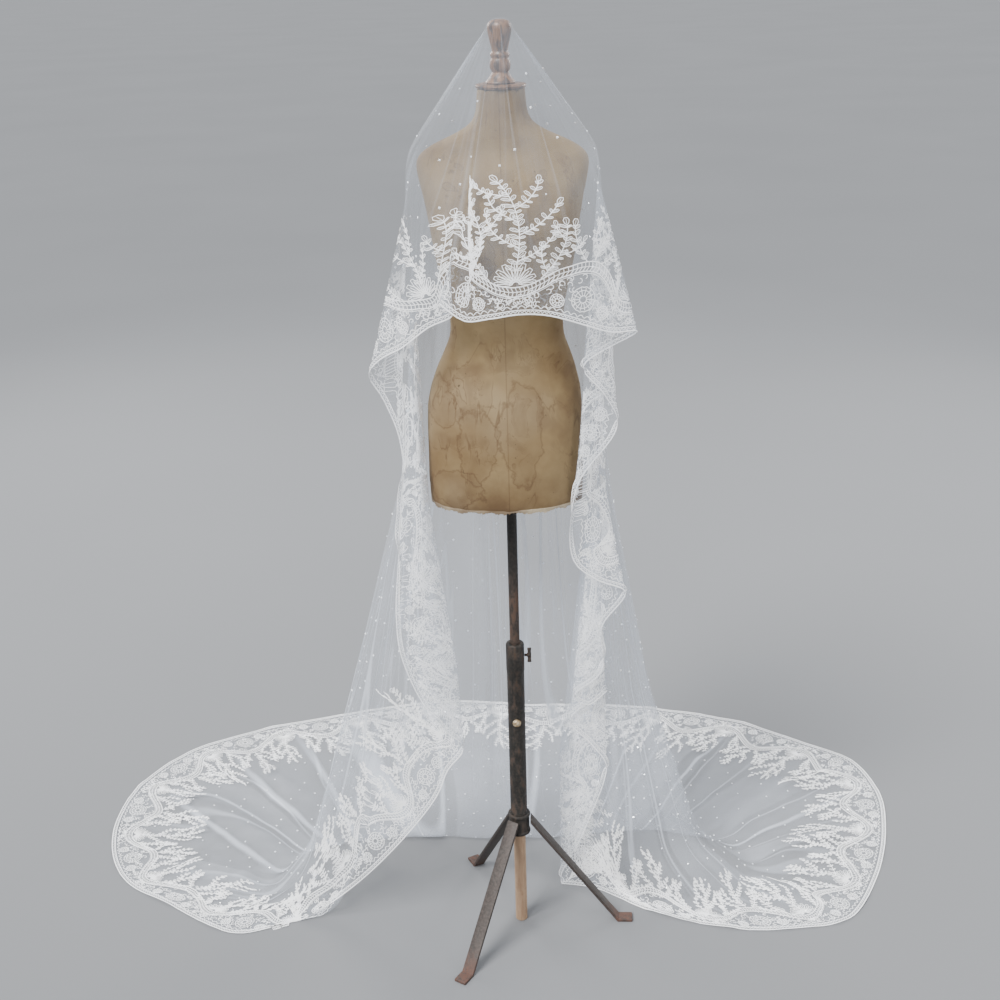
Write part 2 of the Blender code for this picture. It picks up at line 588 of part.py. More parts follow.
def add_veil(drape, group, material, parent):
    """The veil's stretches, with the fall and the train of a long one apart."""
    for stretch in STRETCHES:
        columns = drape.stretch_columns(stretch.first, stretch.last)
        pieces = [(stretch.name, slice(None), ())]
        if stretch.floor:
            train = stretch.name.replace("fall", "train")
            pieces = [
                (stretch.name, slice(0, drape.break_row + 1), (-1,)),
                (train, slice(drape.break_row, None), (0,)),
            ]
        for name, rows, parted in pieces:
            outer = part_edges(drape.outer[columns, rows], True, parted)
            inner = part_edges(drape.inner[columns, rows], True, parted)
            mesh = grid_wall(f"veil_{name}", outer, inner)
            place_object(f"veil_{name}", mesh, group, material, parent)


def add_turned(name, profile, steps, group, material, parent):
    """A turned piece from its outer profile, listed top to bottom."""
    mesh = bpy.data.meshes.new(name)
    points = [(radius, 0.0, height) for radius, height in profile]
    edges = [(i, i + 1) for i in range(len(points) - 1)]
    if profile[0][0] > 0.0:
        edges.append((len(points) - 1, 0))
    mesh.from_pydata(points, edges, [])
    item = place_object(name, mesh, group, material, parent)
    screw = item.modifiers.new("turn", "SCREW")
    screw.axis = "Z"
    screw.steps = steps
    screw.render_steps = steps
    screw.use_merge_vertices = True
    screw.merge_threshold = 0.00001
    screw.use_smooth_shade = True
    return item


def add_crown(group, material, parent):
    """The cap of net that lies over the finial's knob."""
    top = KNOB_TOP_Z + PIECE_GAP
    out = NET_WALL
    profile = (
        (0.0, top + out),
        (0.0125, top + out - 0.0018),
        (0.0195, top + out - 0.0062),
        (CROWN_RADIUS + out / 2, CROWN_Z + 0.0002),
        (CROWN_RADIUS - out / 2, CROWN_Z + 0.0002 + 0.0001),
        (0.0184, top - 0.0058),
        (0.0120, top - 0.0018),
        (0.0, top),
    )
    return add_turned("veil_crown", profile, 48, group, material, parent)


def add_form(group, material, parent):
    """The limbless canvas form, closed above and below."""
    points = []
    for section in FORM_SECTIONS:
        for k in range(FORM_SIDES):
            angle = 2 * math.pi * k / FORM_SIDES
            across = math.cos(angle)
            along = math.sin(angle)
            depth = section.back if along > 0 else section.front
            power = 2.0 / FORM_ROUNDNESS
            x = section.shift + section.half_width * math.copysign(abs(across) ** power, across)
            y = depth * math.copysign(abs(along) ** power, along)
            points.append((x, y, section.z))
    faces = []
    for j in range(len(FORM_SECTIONS) - 1):
        for k in range(FORM_SIDES):
            after = (k + 1) % FORM_SIDES
            low = j * FORM_SIDES
            high = low + FORM_SIDES
            faces.append((low + k, low + after, high + after, high + k))
    last = (len(FORM_SECTIONS) - 1) * FORM_SIDES
    faces.append(tuple(reversed(range(FORM_SIDES))))
    faces.append(tuple(last + k for k in range(FORM_SIDES)))
    return place_object("form_torso", mesh_from("form_torso", points, faces),
                        group, material, parent)


def add_finial(group, material, parent):
    """The neck disc and the turned finial above it."""
    base = NECK_TOP_Z
    disc = (
        (0.0, base + 0.0070),
        (NECK_DISC_RADIUS - 0.0020, base + 0.0070),
        (NECK_DISC_RADIUS, base + 0.0050),
        (NECK_DISC_RADIUS, base + 0.0018),
        (NECK_DISC_RADIUS - 0.0015, base + PIECE_GAP),
        (0.0, base + PIECE_GAP),
    )
    add_turned("neck_disc", disc, 32, group, material, parent)
    foot = base + 0.0070 + PIECE_GAP
    top = KNOB_TOP_Z
    finial = (
        (0.0, top),
        (0.0118, top - 0.0018),
        (0.0180, top - 0.0062),
        (0.0205, top - 0.0130),
        (0.0195, top - 0.0240),
        (0.0160, top - 0.0400),
        (0.0135, top - 0.0500),
        (0.0165, top - 0.0560),
        (0.0150, top - 0.0620),
        (0.0175, top - 0.0690),
        (0.0170, top - 0.0790),
        (0.0140, top - 0.0850),
        (0.0210, foot + 0.0090),
        (0.0260, foot + 0.0020),
        (0.0255, foot),
        (0.0, foot),
    )
    add_turned("finial", finial, 28, group, material, parent)


def add_leg(name, azimuth, group, material, parent):
    """A flat iron bar from the hub to a short foot that lies on the floor."""
    half = LEG_THICKNESS / 2
    path = [
        (HUB_RADIUS + PIECE_GAP, LEG_TOP_Z),
        (TRIPOD_RADIUS - FOOT_LENGTH, half),
        (TRIPOD_RADIUS, half),
    ]
    slope = math.atan2(path[1][1] - path[0][1], path[1][0] - path[0][0])
    plumb = half / abs(math.cos(slope))
    mitre = half * math.tan(abs(slope) / 2)
    outline = [
        (path[0][0], path[0][1] + plumb),
        (path[1][0] + mitre, path[1][1] + half),
        (path[2][0], path[2][1] + half),
        (path[2][0], path[2][1] - half),
        (path[1][0] - mitre, path[1][1] - half),
        (path[0][0], path[0][1] - plumb),
    ]
    curve = bpy.data.curves.new(name, "CURVE")
    curve.dimensions = "2D"
    curve.fill_mode = "BOTH"
    curve.extrude = LEG_WIDTH / 2
    spline = curve.splines.new("POLY")
    spline.points.add(len(outline) - 1)
    for point, (reach, height) in zip(spline.points, outline):
        point.co = (reach, height, 0.0, 1.0)
    spline.use_cyclic_u = True
    leg = place_object(name, curve, group, material, parent)
    leg.rotation_euler = (math.pi / 2, 0.0, math.radians(azimuth))
    weld = leg.modifiers.new("weld", "WELD")
    weld.merge_threshold = 0.00001
    return leg


def add_rod(name, radius, low, high, sides, group, material, parent):
    """An upright round rod on the stand's axis."""
    bpy.ops.mesh.primitive_cylinder_add(vertices=sides, radius=radius, depth=high - low,
                                        location=(0.0, 0.0, (low + high) / 2))
    rod = take_primitive(name, group, material, parent)
    rod.data.shade_smooth()
    rod.data.set_sharp_from_angle(angle=math.radians(40))
    return rod


def add_stand(group, materials, parent):
    """Pole, sleeve, clamp, hub, legs and dowel."""
    iron = materials["iron"]
    add_rod("pole", POLE_RADIUS, HUB_TOP_Z + 0.030, FORM_BASE_Z - PIECE_GAP, 16, group, iron, parent)
    low = HUB_TOP_Z + PIECE_GAP
    sleeve = (
        (SLEEVE_BORE, SLEEVE_TOP_Z),
        (SLEEVE_RADIUS - 0.0012, SLEEVE_TOP_Z),
        (SLEEVE_RADIUS, SLEEVE_TOP_Z - 0.0012),
        (SLEEVE_RADIUS, low),
        (SLEEVE_BORE, low),
    )
    add_turned("sleeve", sleeve, 20, group, iron, parent)
    hub = (
        (0.0, HUB_TOP_Z),
        (HUB_RADIUS - 0.002, HUB_TOP_Z),
        (HUB_RADIUS, HUB_TOP_Z - 0.002),
        (HUB_RADIUS, HUB_BASE_Z + 0.002),
        (HUB_RADIUS - 0.002, HUB_BASE_Z),
        (0.0, HUB_BASE_Z),
    )
    add_turned("hub", hub, 24, group, iron, parent)
    for name, azimuth in LEG_AZIMUTHS.items():
        add_leg(name, azimuth, group, iron, parent)
    add_rod("dowel", DOWEL_RADIUS, FLOOR_Z, HUB_BASE_Z - PIECE_GAP, 20,
            group, materials["pale_wood"], parent)
    shank = SLEEVE_RADIUS + PIECE_GAP
    screw = (
        (0.0, 0.0145),
        (0.0068, 0.0145),
        (0.0072, 0.0135),
        (0.0072, 0.0095),
        (0.0030, 0.0090),
        (0.0030, 0.0),
        (0.0, 0.0),
    )
    clamp = add_turned("thumb_screw", screw, 14, group, iron, parent)
    clamp.location = (shank, 0.0, 0.642)
    clamp.rotation_euler = (0.0, math.pi / 2, 0.0)
    button = (
        (0.0, 0.0050),
        (0.0050, 0.0042),
        (0.0080, 0.0022),
        (0.0085, 0.0),
        (0.0, 0.0),
    )
    boss = add_turned("boss", button, 16, group, materials["brass"], parent)
    boss.location = (0.0, -shank, 0.497)
    boss.rotation_euler = (math.pi / 2, 0.0, 0.0)


def main():
    """Builds the veil, the form and the stand."""
    clear_scene()
    group = new_collection("veil_on_dress_form")
    root = bpy.data.objects.new("veil_on_dress_form_origin", None)
    group.objects.link(root)
    materials = {
        "net": new_material("veil_net", (0.82, 0.85, 0.88), 0.70),
        "canvas": new_material("form_canvas", (0.62, 0.52, 0.36), 0.85),
        "wood": new_material("finial_wood", (0.30, 0.17, 0.09), 0.50),
        "pale_wood": new_material("dowel_wood", (0.62, 0.45, 0.30), 0.60),
        "iron": new_material("stand_iron", (0.09, 0.08, 0.075), 0.55, 0.8),
        "brass": new_material("boss_brass", (0.62, 0.52, 0.36), 0.45, 0.7),
    }
    drape = Drape()
    add_veil(drape, group, materials["net"], root)
    add_crown(group, materials["net"], root)
    add_form(group, materials["canvas"], root)
    add_finial(group, materials["wood"], root)
    add_stand(group, materials, root)


main()
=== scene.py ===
"""Studio scene of a bridal veil draped over a canvas dress form on an iron stand.

The veil is one sheet of fine net laid through lines that run down from the
finial. Its embroidery is drawn on the flat cut of the cloth, as repeats along
the edge, and is then carried on to the draped sheet as small raised cords.
Units are metres, +Z is up, and the front of the veil faces -Y.
"""
import logging
import math
from collections.abc import Callable
from dataclasses import dataclass, field
from enum import Enum

import bmesh
import bpy
import numpy as np
from mathutils import Matrix, Vector


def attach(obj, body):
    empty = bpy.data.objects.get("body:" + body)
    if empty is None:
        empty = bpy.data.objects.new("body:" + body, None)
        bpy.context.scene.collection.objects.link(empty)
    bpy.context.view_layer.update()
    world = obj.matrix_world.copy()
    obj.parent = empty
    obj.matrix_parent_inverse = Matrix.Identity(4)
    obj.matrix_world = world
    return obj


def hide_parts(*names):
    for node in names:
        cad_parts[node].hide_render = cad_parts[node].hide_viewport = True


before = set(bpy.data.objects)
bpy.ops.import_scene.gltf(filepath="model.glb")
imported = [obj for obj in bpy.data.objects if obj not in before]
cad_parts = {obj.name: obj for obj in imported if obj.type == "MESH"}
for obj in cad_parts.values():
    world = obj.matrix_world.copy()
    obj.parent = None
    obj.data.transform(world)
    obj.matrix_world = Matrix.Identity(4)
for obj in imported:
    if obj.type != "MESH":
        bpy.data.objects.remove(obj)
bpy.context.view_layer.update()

LOG = logging.getLogger("veil")
Array = np.ndarray
Spot = tuple[float, float, float]
VEIL_NODES = (
    "veil_crown", "veil_front", "veil_right_upper", "veil_right_middle", "veil_right_lower",
    "veil_right_turn", "veil_right_fall", "veil_right_train", "veil_back_right_fall",
    "veil_back_right_train", "veil_back_left_fall", "veil_back_left_train", "veil_left_fall",
    "veil_left_train", "veil_left_turn", "veil_left_flap",
)


class Slot(Enum):
    """The record's material slots."""

    NET = "veil_net"
    CANVAS = "form_canvas"
    FINIAL = "finial_wood"
    DOWEL = "dowel_wood"
    IRON = "stand_iron"
    BRASS = "boss_brass"


@dataclass(frozen=True)
class Line:
    """One line of the cloth from the finial to the veil's edge."""

    name: str
    shoulder: Spot
    hip: tuple[float, float] | None
    low: Spot | None
    end: Spot


@dataclass(frozen=True)
class Ridge:
    """A broad soft ridge of the train."""

    x0: float
    y0: float
    x1: float
    y1: float
    height: float
    half_width: float


LINES = (
    Line("front_mid", (0.01, -0.131, 1.47), None, None, (0.018, -0.146, 1.372)),
    Line("front_1", (0.055, -0.126, 1.475), None, None, (0.073, -0.14, 1.366)),
    Line("front_2", (0.098, -0.106, 1.5), None, None, (0.128, -0.126, 1.346)),
    Line("right_front", (0.132, -0.078, 1.545), None, None, (0.181, -0.102, 1.324)),
    Line("right_tip_1", (0.152, -0.05, 1.59), None, None, (0.228, -0.072, 1.316)),
    Line("right_turn_1", (0.157, -0.037, 1.61), None, None, (0.131, -0.099, 1.263)),
    Line("right_flap_2", (0.158, -0.03, 1.615), None, None, (0.168, -0.084, 1.208)),
    Line("right_tip_2", (0.1585, -0.023, 1.619), None, None, (0.195, -0.066, 1.14)),
    Line("right_turn_2", (0.159, -0.015, 1.622), None, None, (0.121, -0.079, 1.03)),
    Line("right_low_3", (0.1594, -0.005, 1.625), (0.137, -0.063), None, (0.113, -0.06, 0.874)),
    Line("right_flap_3", (0.1595, 0.003, 1.626), (0.155, -0.05), None, (0.16, -0.051, 0.826)),
    Line("right_tip_3", (0.1595, 0.009, 1.626), (0.177, -0.03), None, (0.215, -0.04, 0.793)),
    Line("right_back_4", (0.1592, 0.015, 1.626), (0.168, -0.02), None, (0.17, -0.03, 0.714)),
    Line("right_side_4", (0.1588, 0.02, 1.625), (0.161, -0.011), None, (0.169, -0.024, 0.61)),
    Line("right_turn_4", (0.1582, 0.025, 1.624), (0.155, -0.001), None, (0.115, -0.018, 0.556)),
    Line("right_flap_5", (0.1575, 0.03, 1.623), (0.163, 0.006), None, (0.146, -0.002, 0.524)),
    Line("right_tip_5", (0.1565, 0.035, 1.622), (0.171, 0.013), None, (0.184, 0.007, 0.551)),
    Line("right_turn_5", (0.1552, 0.04, 1.62), (0.155, 0.024), None, (0.109, 0.022, 0.476)),
    Line("right_flap_6", (0.1535, 0.045, 1.618), (0.164, 0.032), None, (0.155, 0.038, 0.405)),
    Line("right_tip_6", (0.1515, 0.05, 1.615), (0.172, 0.04), None, (0.186, 0.048, 0.343)),
    Line("right_back_7", (0.149, 0.054, 1.612), (0.164, 0.047), None, (0.141, 0.062, 0.175)),
    Line("right_turn_7", (0.146, 0.058, 1.609), (0.156, 0.055), (0.088, 0.086, 0.34), (0.093, 0.108, 0.0)),
    Line("right_foot", (0.1425, 0.062, 1.606), (0.166, 0.061), (0.14, 0.12, 0.3), (0.158, 0.092, 0.0)),
    Line("right_sweep_1", (0.139, 0.066, 1.6), (0.176, 0.067), (0.262, 0.042, 0.0), (0.3, -0.006, 0.0)),
    Line("right_sweep_2", (0.135, 0.069, 1.595), (0.183, 0.075), (0.365, 0.022, 0.0), (0.462, -0.062, 0.0)),
    Line("right_sweep_3", (0.1305, 0.072, 1.59), (0.187, 0.084), (0.445, 0.034, 0.0), (0.589, -0.064, 0.0)),
    Line("right_sweep_4", (0.1255, 0.075, 1.585), (0.189, 0.093), (0.5, 0.064, 0.0), (0.702, -0.038, 0.0)),
    Line("right_sweep_5", (0.1195, 0.078, 1.58), (0.188, 0.104), (0.525, 0.11, 0.0), (0.795, 0.095, 0.0)),
    Line("right_sweep_6", (0.1125, 0.081, 1.575), (0.184, 0.116), (0.52, 0.16, 0.0), (0.864, 0.273, 0.0)),
    Line("right_sweep_7", (0.104, 0.084, 1.57), (0.176, 0.127), (0.495, 0.207, 0.0), (0.889, 0.43, 0.0)),
    Line("right_sweep_8", (0.0935, 0.087, 1.565), (0.162, 0.137), (0.445, 0.246, 0.0), (0.856, 0.57, 0.0)),
    Line("back_1", (0.0805, 0.09, 1.56), (0.142, 0.146), (0.375, 0.272, 0.0), (0.743, 0.668, 0.0)),
    Line("back_2", (0.066, 0.093, 1.555), (0.118, 0.152), (0.295, 0.284, 0.0), (0.6, 0.772, 0.0)),
    Line("back_3", (0.049, 0.095, 1.55), (0.089, 0.156), (0.207, 0.28, 0.0), (0.42, 0.842, 0.0)),
    Line("back_4", (0.03, 0.097, 1.548), (0.055, 0.158), (0.12, 0.27, 0.0), (0.225, 0.884, 0.0)),
    Line("back_5", (0.008, 0.098, 1.547), (0.015, 0.159), (0.03, 0.266, 0.0), (0.04, 0.892, 0.0)),
    Line("back_6", (-0.015, 0.098, 1.547), (-0.028, 0.159), (-0.068, 0.27, 0.0), (-0.14, 0.922, 0.0)),
    Line("back_7", (-0.037, 0.096, 1.548), (-0.069, 0.157), (-0.17, 0.279, 0.0), (-0.33, 0.902, 0.0)),
    Line("back_8", (-0.057, 0.094, 1.552), (-0.105, 0.153), (-0.275, 0.283, 0.0), (-0.51, 0.856, 0.0)),
    Line("back_9", (-0.0745, 0.091, 1.557), (-0.136, 0.147), (-0.375, 0.276, 0.0), (-0.69, 0.798, 0.0)),
    Line("left_sweep_8", (-0.0895, 0.088, 1.562), (-0.161, 0.138), (-0.455, 0.25, 0.0), (-0.858, 0.7, 0.0)),
    Line("left_sweep_7", (-0.102, 0.084, 1.568), (-0.18, 0.126), (-0.512, 0.213, 0.0), (-0.952, 0.56, 0.0)),
    Line("left_sweep_6", (-0.1125, 0.08, 1.574), (-0.193, 0.113), (-0.542, 0.172, 0.0), (-0.978, 0.42, 0.0)),
    Line("left_sweep_5", (-0.1215, 0.075, 1.58), (-0.201, 0.099), (-0.553, 0.131, 0.0), (-0.956, 0.27, 0.0)),
    Line("left_sweep_4", (-0.1295, 0.069, 1.586), (-0.205, 0.085), (-0.549, 0.092, 0.0),
         (-0.895, 0.158, 0.0)),
    Line("left_sweep_3", (-0.1365, 0.063, 1.593), (-0.206, 0.071), (-0.528, 0.06, 0.0), (-0.778, 0.072, 0.0)),
    Line("left_sweep_2", (-0.1425, 0.056, 1.6), (-0.204, 0.057), (-0.485, 0.038, 0.0), (-0.616, -0.028, 0.0)),
    Line("left_sweep_1", (-0.1475, 0.048, 1.606), (-0.199, 0.043), (-0.418, 0.026, 0.0),
         (-0.483, 0.006, 0.0)),
    Line("left_rise_1", (-0.1515, 0.04, 1.611), (-0.19, 0.029), (-0.3, 0.01, 0.3), (-0.366, -0.004, 0.089)),
    Line("left_rise_2", (-0.1545, 0.032, 1.615), (-0.18, 0.016), (-0.218, 0.002, 0.48),
         (-0.253, -0.012, 0.209)),
    Line("left_rise_3", (-0.1568, 0.024, 1.619), (-0.17, 0.004), (-0.16, -0.01, 0.56),
         (-0.167, -0.02, 0.331)),
    Line("left_rise_4", (-0.1584, 0.015, 1.622), (-0.161, -0.012), (-0.135, -0.02, 0.6),
         (-0.142, -0.03, 0.398)),
    Line("left_fold", (-0.1593, 0.006, 1.624), (-0.153, -0.042), (-0.113, -0.042, 0.64),
         (-0.108, -0.044, 0.457)),
    Line("left_flap_6", (-0.1595, -0.002, 1.625), (-0.162, -0.057), (-0.138, -0.058, 0.7),
         (-0.144, -0.056, 0.507)),
    Line("left_flap_5", (-0.1593, -0.01, 1.624), (-0.173, -0.061), (-0.178, -0.064, 0.76),
         (-0.186, -0.058, 0.572)),
    Line("left_flap_4", (-0.1588, -0.018, 1.622), (-0.184, -0.058), None, (-0.223, -0.058, 0.68)),
    Line("left_flap_3", (-0.1576, -0.027, 1.619), (-0.193, -0.052), None, (-0.228, -0.054, 0.765)),
    Line("left_under", (-0.1552, -0.036, 1.612), None, (-0.192, -0.041, 1.34), (-0.201, -0.042, 1.105)),
    Line("left_under_tip", (-0.1523, -0.043, 1.605), None, None, (-0.228, -0.034, 1.192)),
    Line("left_tip", (-0.149, -0.05, 1.597), None, None, (-0.25, -0.044, 1.24)),
    Line("left_front", (-0.139, -0.065, 1.57), None, None, (-0.226, -0.074, 1.278)),
    Line("front_7", (-0.122, -0.085, 1.53), None, None, (-0.18, -0.102, 1.309)),
    Line("front_6", (-0.104, -0.099, 1.503), None, None, (-0.135, -0.112, 1.345)),
    Line("front_pleat_in", (-0.09, -0.107, 1.492), None, None, (-0.092, -0.119, 1.367)),
    Line("front_pleat_out", (-0.083, -0.114, 1.484), None, None, (-0.117, -0.136, 1.393)),
    Line("front_5", (-0.066, -0.126, 1.476), None, None, (-0.073, -0.148, 1.363)),
    Line("front_4", (-0.032, -0.131, 1.47), None, None, (-0.03, -0.149, 1.366)),
)

RIDGES = (
    Ridge(-0.84, 0.50, -0.52, 0.22, 0.026, 0.055),
    Ridge(-0.70, 0.62, -0.46, 0.38, 0.020, 0.050),
    Ridge(-0.80, 0.24, -0.58, 0.12, 0.016, 0.040),
    Ridge(-0.42, 0.72, -0.26, 0.36, 0.018, 0.048),
    Ridge(-0.12, 0.74, -0.06, 0.36, 0.014, 0.045),
    Ridge(0.16, 0.70, 0.10, 0.36, 0.015, 0.045),
    Ridge(0.50, 0.66, 0.34, 0.36, 0.020, 0.050),
    Ridge(0.72, 0.52, 0.48, 0.28, 0.024, 0.055),
    Ridge(0.78, 0.28, 0.54, 0.16, 0.018, 0.045),
    Ridge(0.62, 0.04, 0.50, 0.10, 0.012, 0.035),
)


def smooth_step(value: Array | float) -> Array | float:
    """Rises from 0 to 1 with no corner as value goes from 0 to 1."""
    value = np.clip(value, 0.0, 1.0)
    return value * value * (3.0 - 2.0 * value)


def unit(vectors: Array) -> Array:
    """The same directions, one long."""
    return vectors / np.maximum(np.linalg.norm(vectors, axis=-1, keepdims=True), 1e-9)


def ripple(x: Array, y: Array, scale: float, seed: float) -> Array:
    """A smooth uneven field between about -1 and 1.

    Args:
        x: First coordinate, in metres.
        y: Second coordinate, in metres.
        scale: Distance from one swell to the next, in metres.
        seed: Shifts the field, so that two fields differ.

    Returns:
        The field's height at each point.
    """
    total = np.zeros(np.broadcast(x, y).shape)
    for k in range(5):
        turn = 2.4 * k + seed
        step = 2 * math.pi / (scale * (0.7 + 0.16 * k))
        total += np.sin((x * math.cos(turn) + y * math.sin(turn)) * step + 1.7 * k + 3.1 * seed)
    return total / 3.2


def spline_point(p0: Array, p1: Array, p2: Array, p3: Array, part: Array) -> Array:
    """Point of a centripetal curve between p1 and p2, for arrays of points."""
    def step(a: Array, b: Array) -> Array:
        """How much of the curve's own measure lies between two points."""
        return np.maximum(np.sqrt(np.linalg.norm(b - a, axis=-1, keepdims=True)), 1e-4)

    t1 = step(p0, p1)
    t2 = t1 + step(p1, p2)
    t3 = t2 + step(p2, p3)
    t = t1 + (t2 - t1) * part
    a1 = (t1 - t) / t1 * p0 + t / t1 * p1
    a2 = (t2 - t) / (t2 - t1) * p1 + (t - t1) / (t2 - t1) * p2
    a3 = (t3 - t) / (t3 - t2) * p2 + (t - t2) / (t3 - t2) * p3
    b1 = (t2 - t) / t2 * a1 + t / t2 * a2
    b2 = (t3 - t) / (t3 - t1) * a2 + (t - t1) / (t3 - t1) * a3
    return (t2 - t) / (t2 - t1) * b1 + (t - t1) / (t2 - t1) * b2


@dataclass
class Drape:
    """The draped cloth as a fine grid of points round the finial.

    A column of the grid runs down from the finial, and all columns share the
    same fractions of their lengths as rows.
    """

    crown_radius: float = 0.0225
    crown_z: float = 1.8245
    hip_z: float = 1.000
    knee_z: float = 0.500
    shin_z: float = 0.115
    knee_reach: float = 0.27
    shin_reach: float = 0.62
    left_from: float = 0.30
    left_over: float = 0.15
    left_knee_more: float = 0.14
    left_shin_more: float = 0.13
    bend_width: float = 0.050
    shoulder_ease: float = 0.007
    pleat_depth: float = 0.0085
    pleat_slope: float = 0.12
    pleats_coarse: int = 17
    pleats_fine: int = 29
    pleats_small: int = 47
    creases: int = 23
    pleat_start: float = 0.06
    pleat_growth: float = 0.40
    pleat_fade_height: float = 0.30
    cascade_share: float = 0.16
    front_calm: float = 0.45
    gather_depth: float = 0.0007
    gather_end: float = 0.26
    least_gap: float = 0.030
    fewest_columns: int = 4
    pleat_row: float = 0.28
    ridge_end: float = 0.30
    swell_height: float = 0.0045
    cloth_floor: float = 0.0008
    samples: int = 240
    columns: int = 480
    rows: int = 186
    floor_meeting: float = 0.060

    def __post_init__(self) -> None:
        """Lays out the lines, the columns and the grid."""
        made = [self.line_path(line) for line in LINES]
        self.paths = np.stack([m[0] for m in made])
        self.line_lengths = np.array([m[1] for m in made])
        self.places = self.share_columns()
        self.lengths = self.blend(self.line_lengths)
        self.fractions = np.linspace(0.0, 1.0, self.rows)
        self.distances = self.lengths[:, None] * self.fractions[None, :]
        self.grid = self.fold(self.smooth_points())
        self.normals = self.grid_normals(self.grid)

    def line_path(self, line: Line) -> tuple[Array, float]:
        """Evenly spaced points down one line of the cloth.

        Args:
            line: The line to follow.

        Returns:
            The points and the line's length.
        """
        turn = math.atan2(line.shoulder[1], line.shoulder[0])
        across, along = math.cos(turn), math.sin(turn)
        stations = [
            (self.crown_radius * across, self.crown_radius * along, self.crown_z),
            (line.shoulder[0] + self.shoulder_ease * across,
             line.shoulder[1] + self.shoulder_ease * along, line.shoulder[2]),
        ]
        if line.hip:
            stations.append((*line.hip, self.hip_z))
        if line.low:
            if line.low[2] <= 0.0:
                wide = float(smooth_step((-line.low[0] - self.left_from) / self.left_over))
                knee = self.knee_reach + self.left_knee_more * wide
                shin = self.shin_reach + self.left_shin_more * wide
                for height, reach in ((self.knee_z, knee), (self.shin_z, shin)):
                    x = line.hip[0] + (line.low[0] - line.hip[0]) * reach
                    y = line.hip[1] + (line.low[1] - line.hip[1]) * reach
                    stations.append((x, y, height))
            stations.append(line.low)
        stations.append(line.end)
        points = np.array(stations)
        steps = np.linalg.norm(np.diff(points, axis=0), axis=1)
        run = np.concatenate([[0.0], np.cumsum(steps)])
        reach = np.linspace(-self.bend_width, run[-1] + self.bend_width, self.samples * 3)
        path = np.stack([np.interp(reach, run, points[:, k]) for k in range(3)], axis=-1)
        path += np.minimum(reach, 0.0)[:, None] * (points[1] - points[0]) / steps[0]
        path += np.maximum(reach - run[-1], 0.0)[:, None] * (points[-1] - points[-2]) / steps[-1]
        spread = np.arange(-self.bend_width, self.bend_width + 1e-9, reach[1] - reach[0])
        weights = np.cos(spread / self.bend_width * math.pi / 2) ** 2
        weights /= weights.sum()
        inside = (reach > -1e-9) & (reach < run[-1] + 1e-9)
        path = np.stack([np.convolve(path[:, k], weights, "same") for k in range(3)], axis=-1)
        path = path[inside]
        steps = np.linalg.norm(np.diff(path, axis=0), axis=1)
        along_path = np.concatenate([[0.0], np.cumsum(steps)])
        even = np.linspace(0.0, along_path[-1], self.samples)
        path = np.stack([np.interp(even, along_path, path[:, k]) for k in range(3)], axis=-1)
        path[0] = points[0]
        path[-1] = points[-1]
        return path, float(along_path[-1])

    def share_columns(self) -> Array:
        """Places of the columns along the lines, more where lines lie far apart."""
        nearest = np.roll(self.paths, -1, axis=0) - self.paths
        widest = np.linalg.norm(nearest, axis=-1).max(axis=1)
        want = np.maximum(widest, self.least_gap)
        counts = np.maximum(np.floor(want / want.sum() * self.columns), self.fewest_columns).astype(int)
        while counts.sum() > self.columns:
            counts[np.argmax(counts)] -= 1
        while counts.sum() < self.columns:
            counts[np.argmax(want / counts)] += 1
        return np.array([i + k / n for i, n in enumerate(counts) for k in range(n)])

    def blend(self, values: Array) -> Array:
        """A value given for each line, read at each column."""
        low = np.floor(self.places).astype(int)
        part = self.places - low
        return values[low] * (1 - part) + values[(low + 1) % len(LINES)] * part

    def smooth_points(self) -> Array:
        """Points of the cloth before its pleats and ridges."""
        low = np.floor(self.places).astype(int)
        part = (self.places - low)[:, None, None]
        along = self.fractions * (self.samples - 1)
        base = np.minimum(along.astype(int), self.samples - 2)
        rest = (along - base)[None, :, None]
        four = []
        for k in (-1, 0, 1, 2):
            path = self.paths[(low + k) % len(LINES)]
            four.append(path[:, base] * (1 - rest) + path[:, base + 1] * rest)
        return spline_point(*four, part)

    def grid_normals(self, grid: Array) -> Array:
        """Directions out of a grid that closes on itself round the finial."""
        after = unit(np.roll(grid, -1, axis=0) - grid)
        around = after + np.roll(after, 1, axis=0)
        steps = unit(np.diff(grid, axis=1))
        down = np.zeros_like(grid)
        down[:, :-1] += steps
        down[:, 1:] += steps
        return unit(np.cross(around, -down))

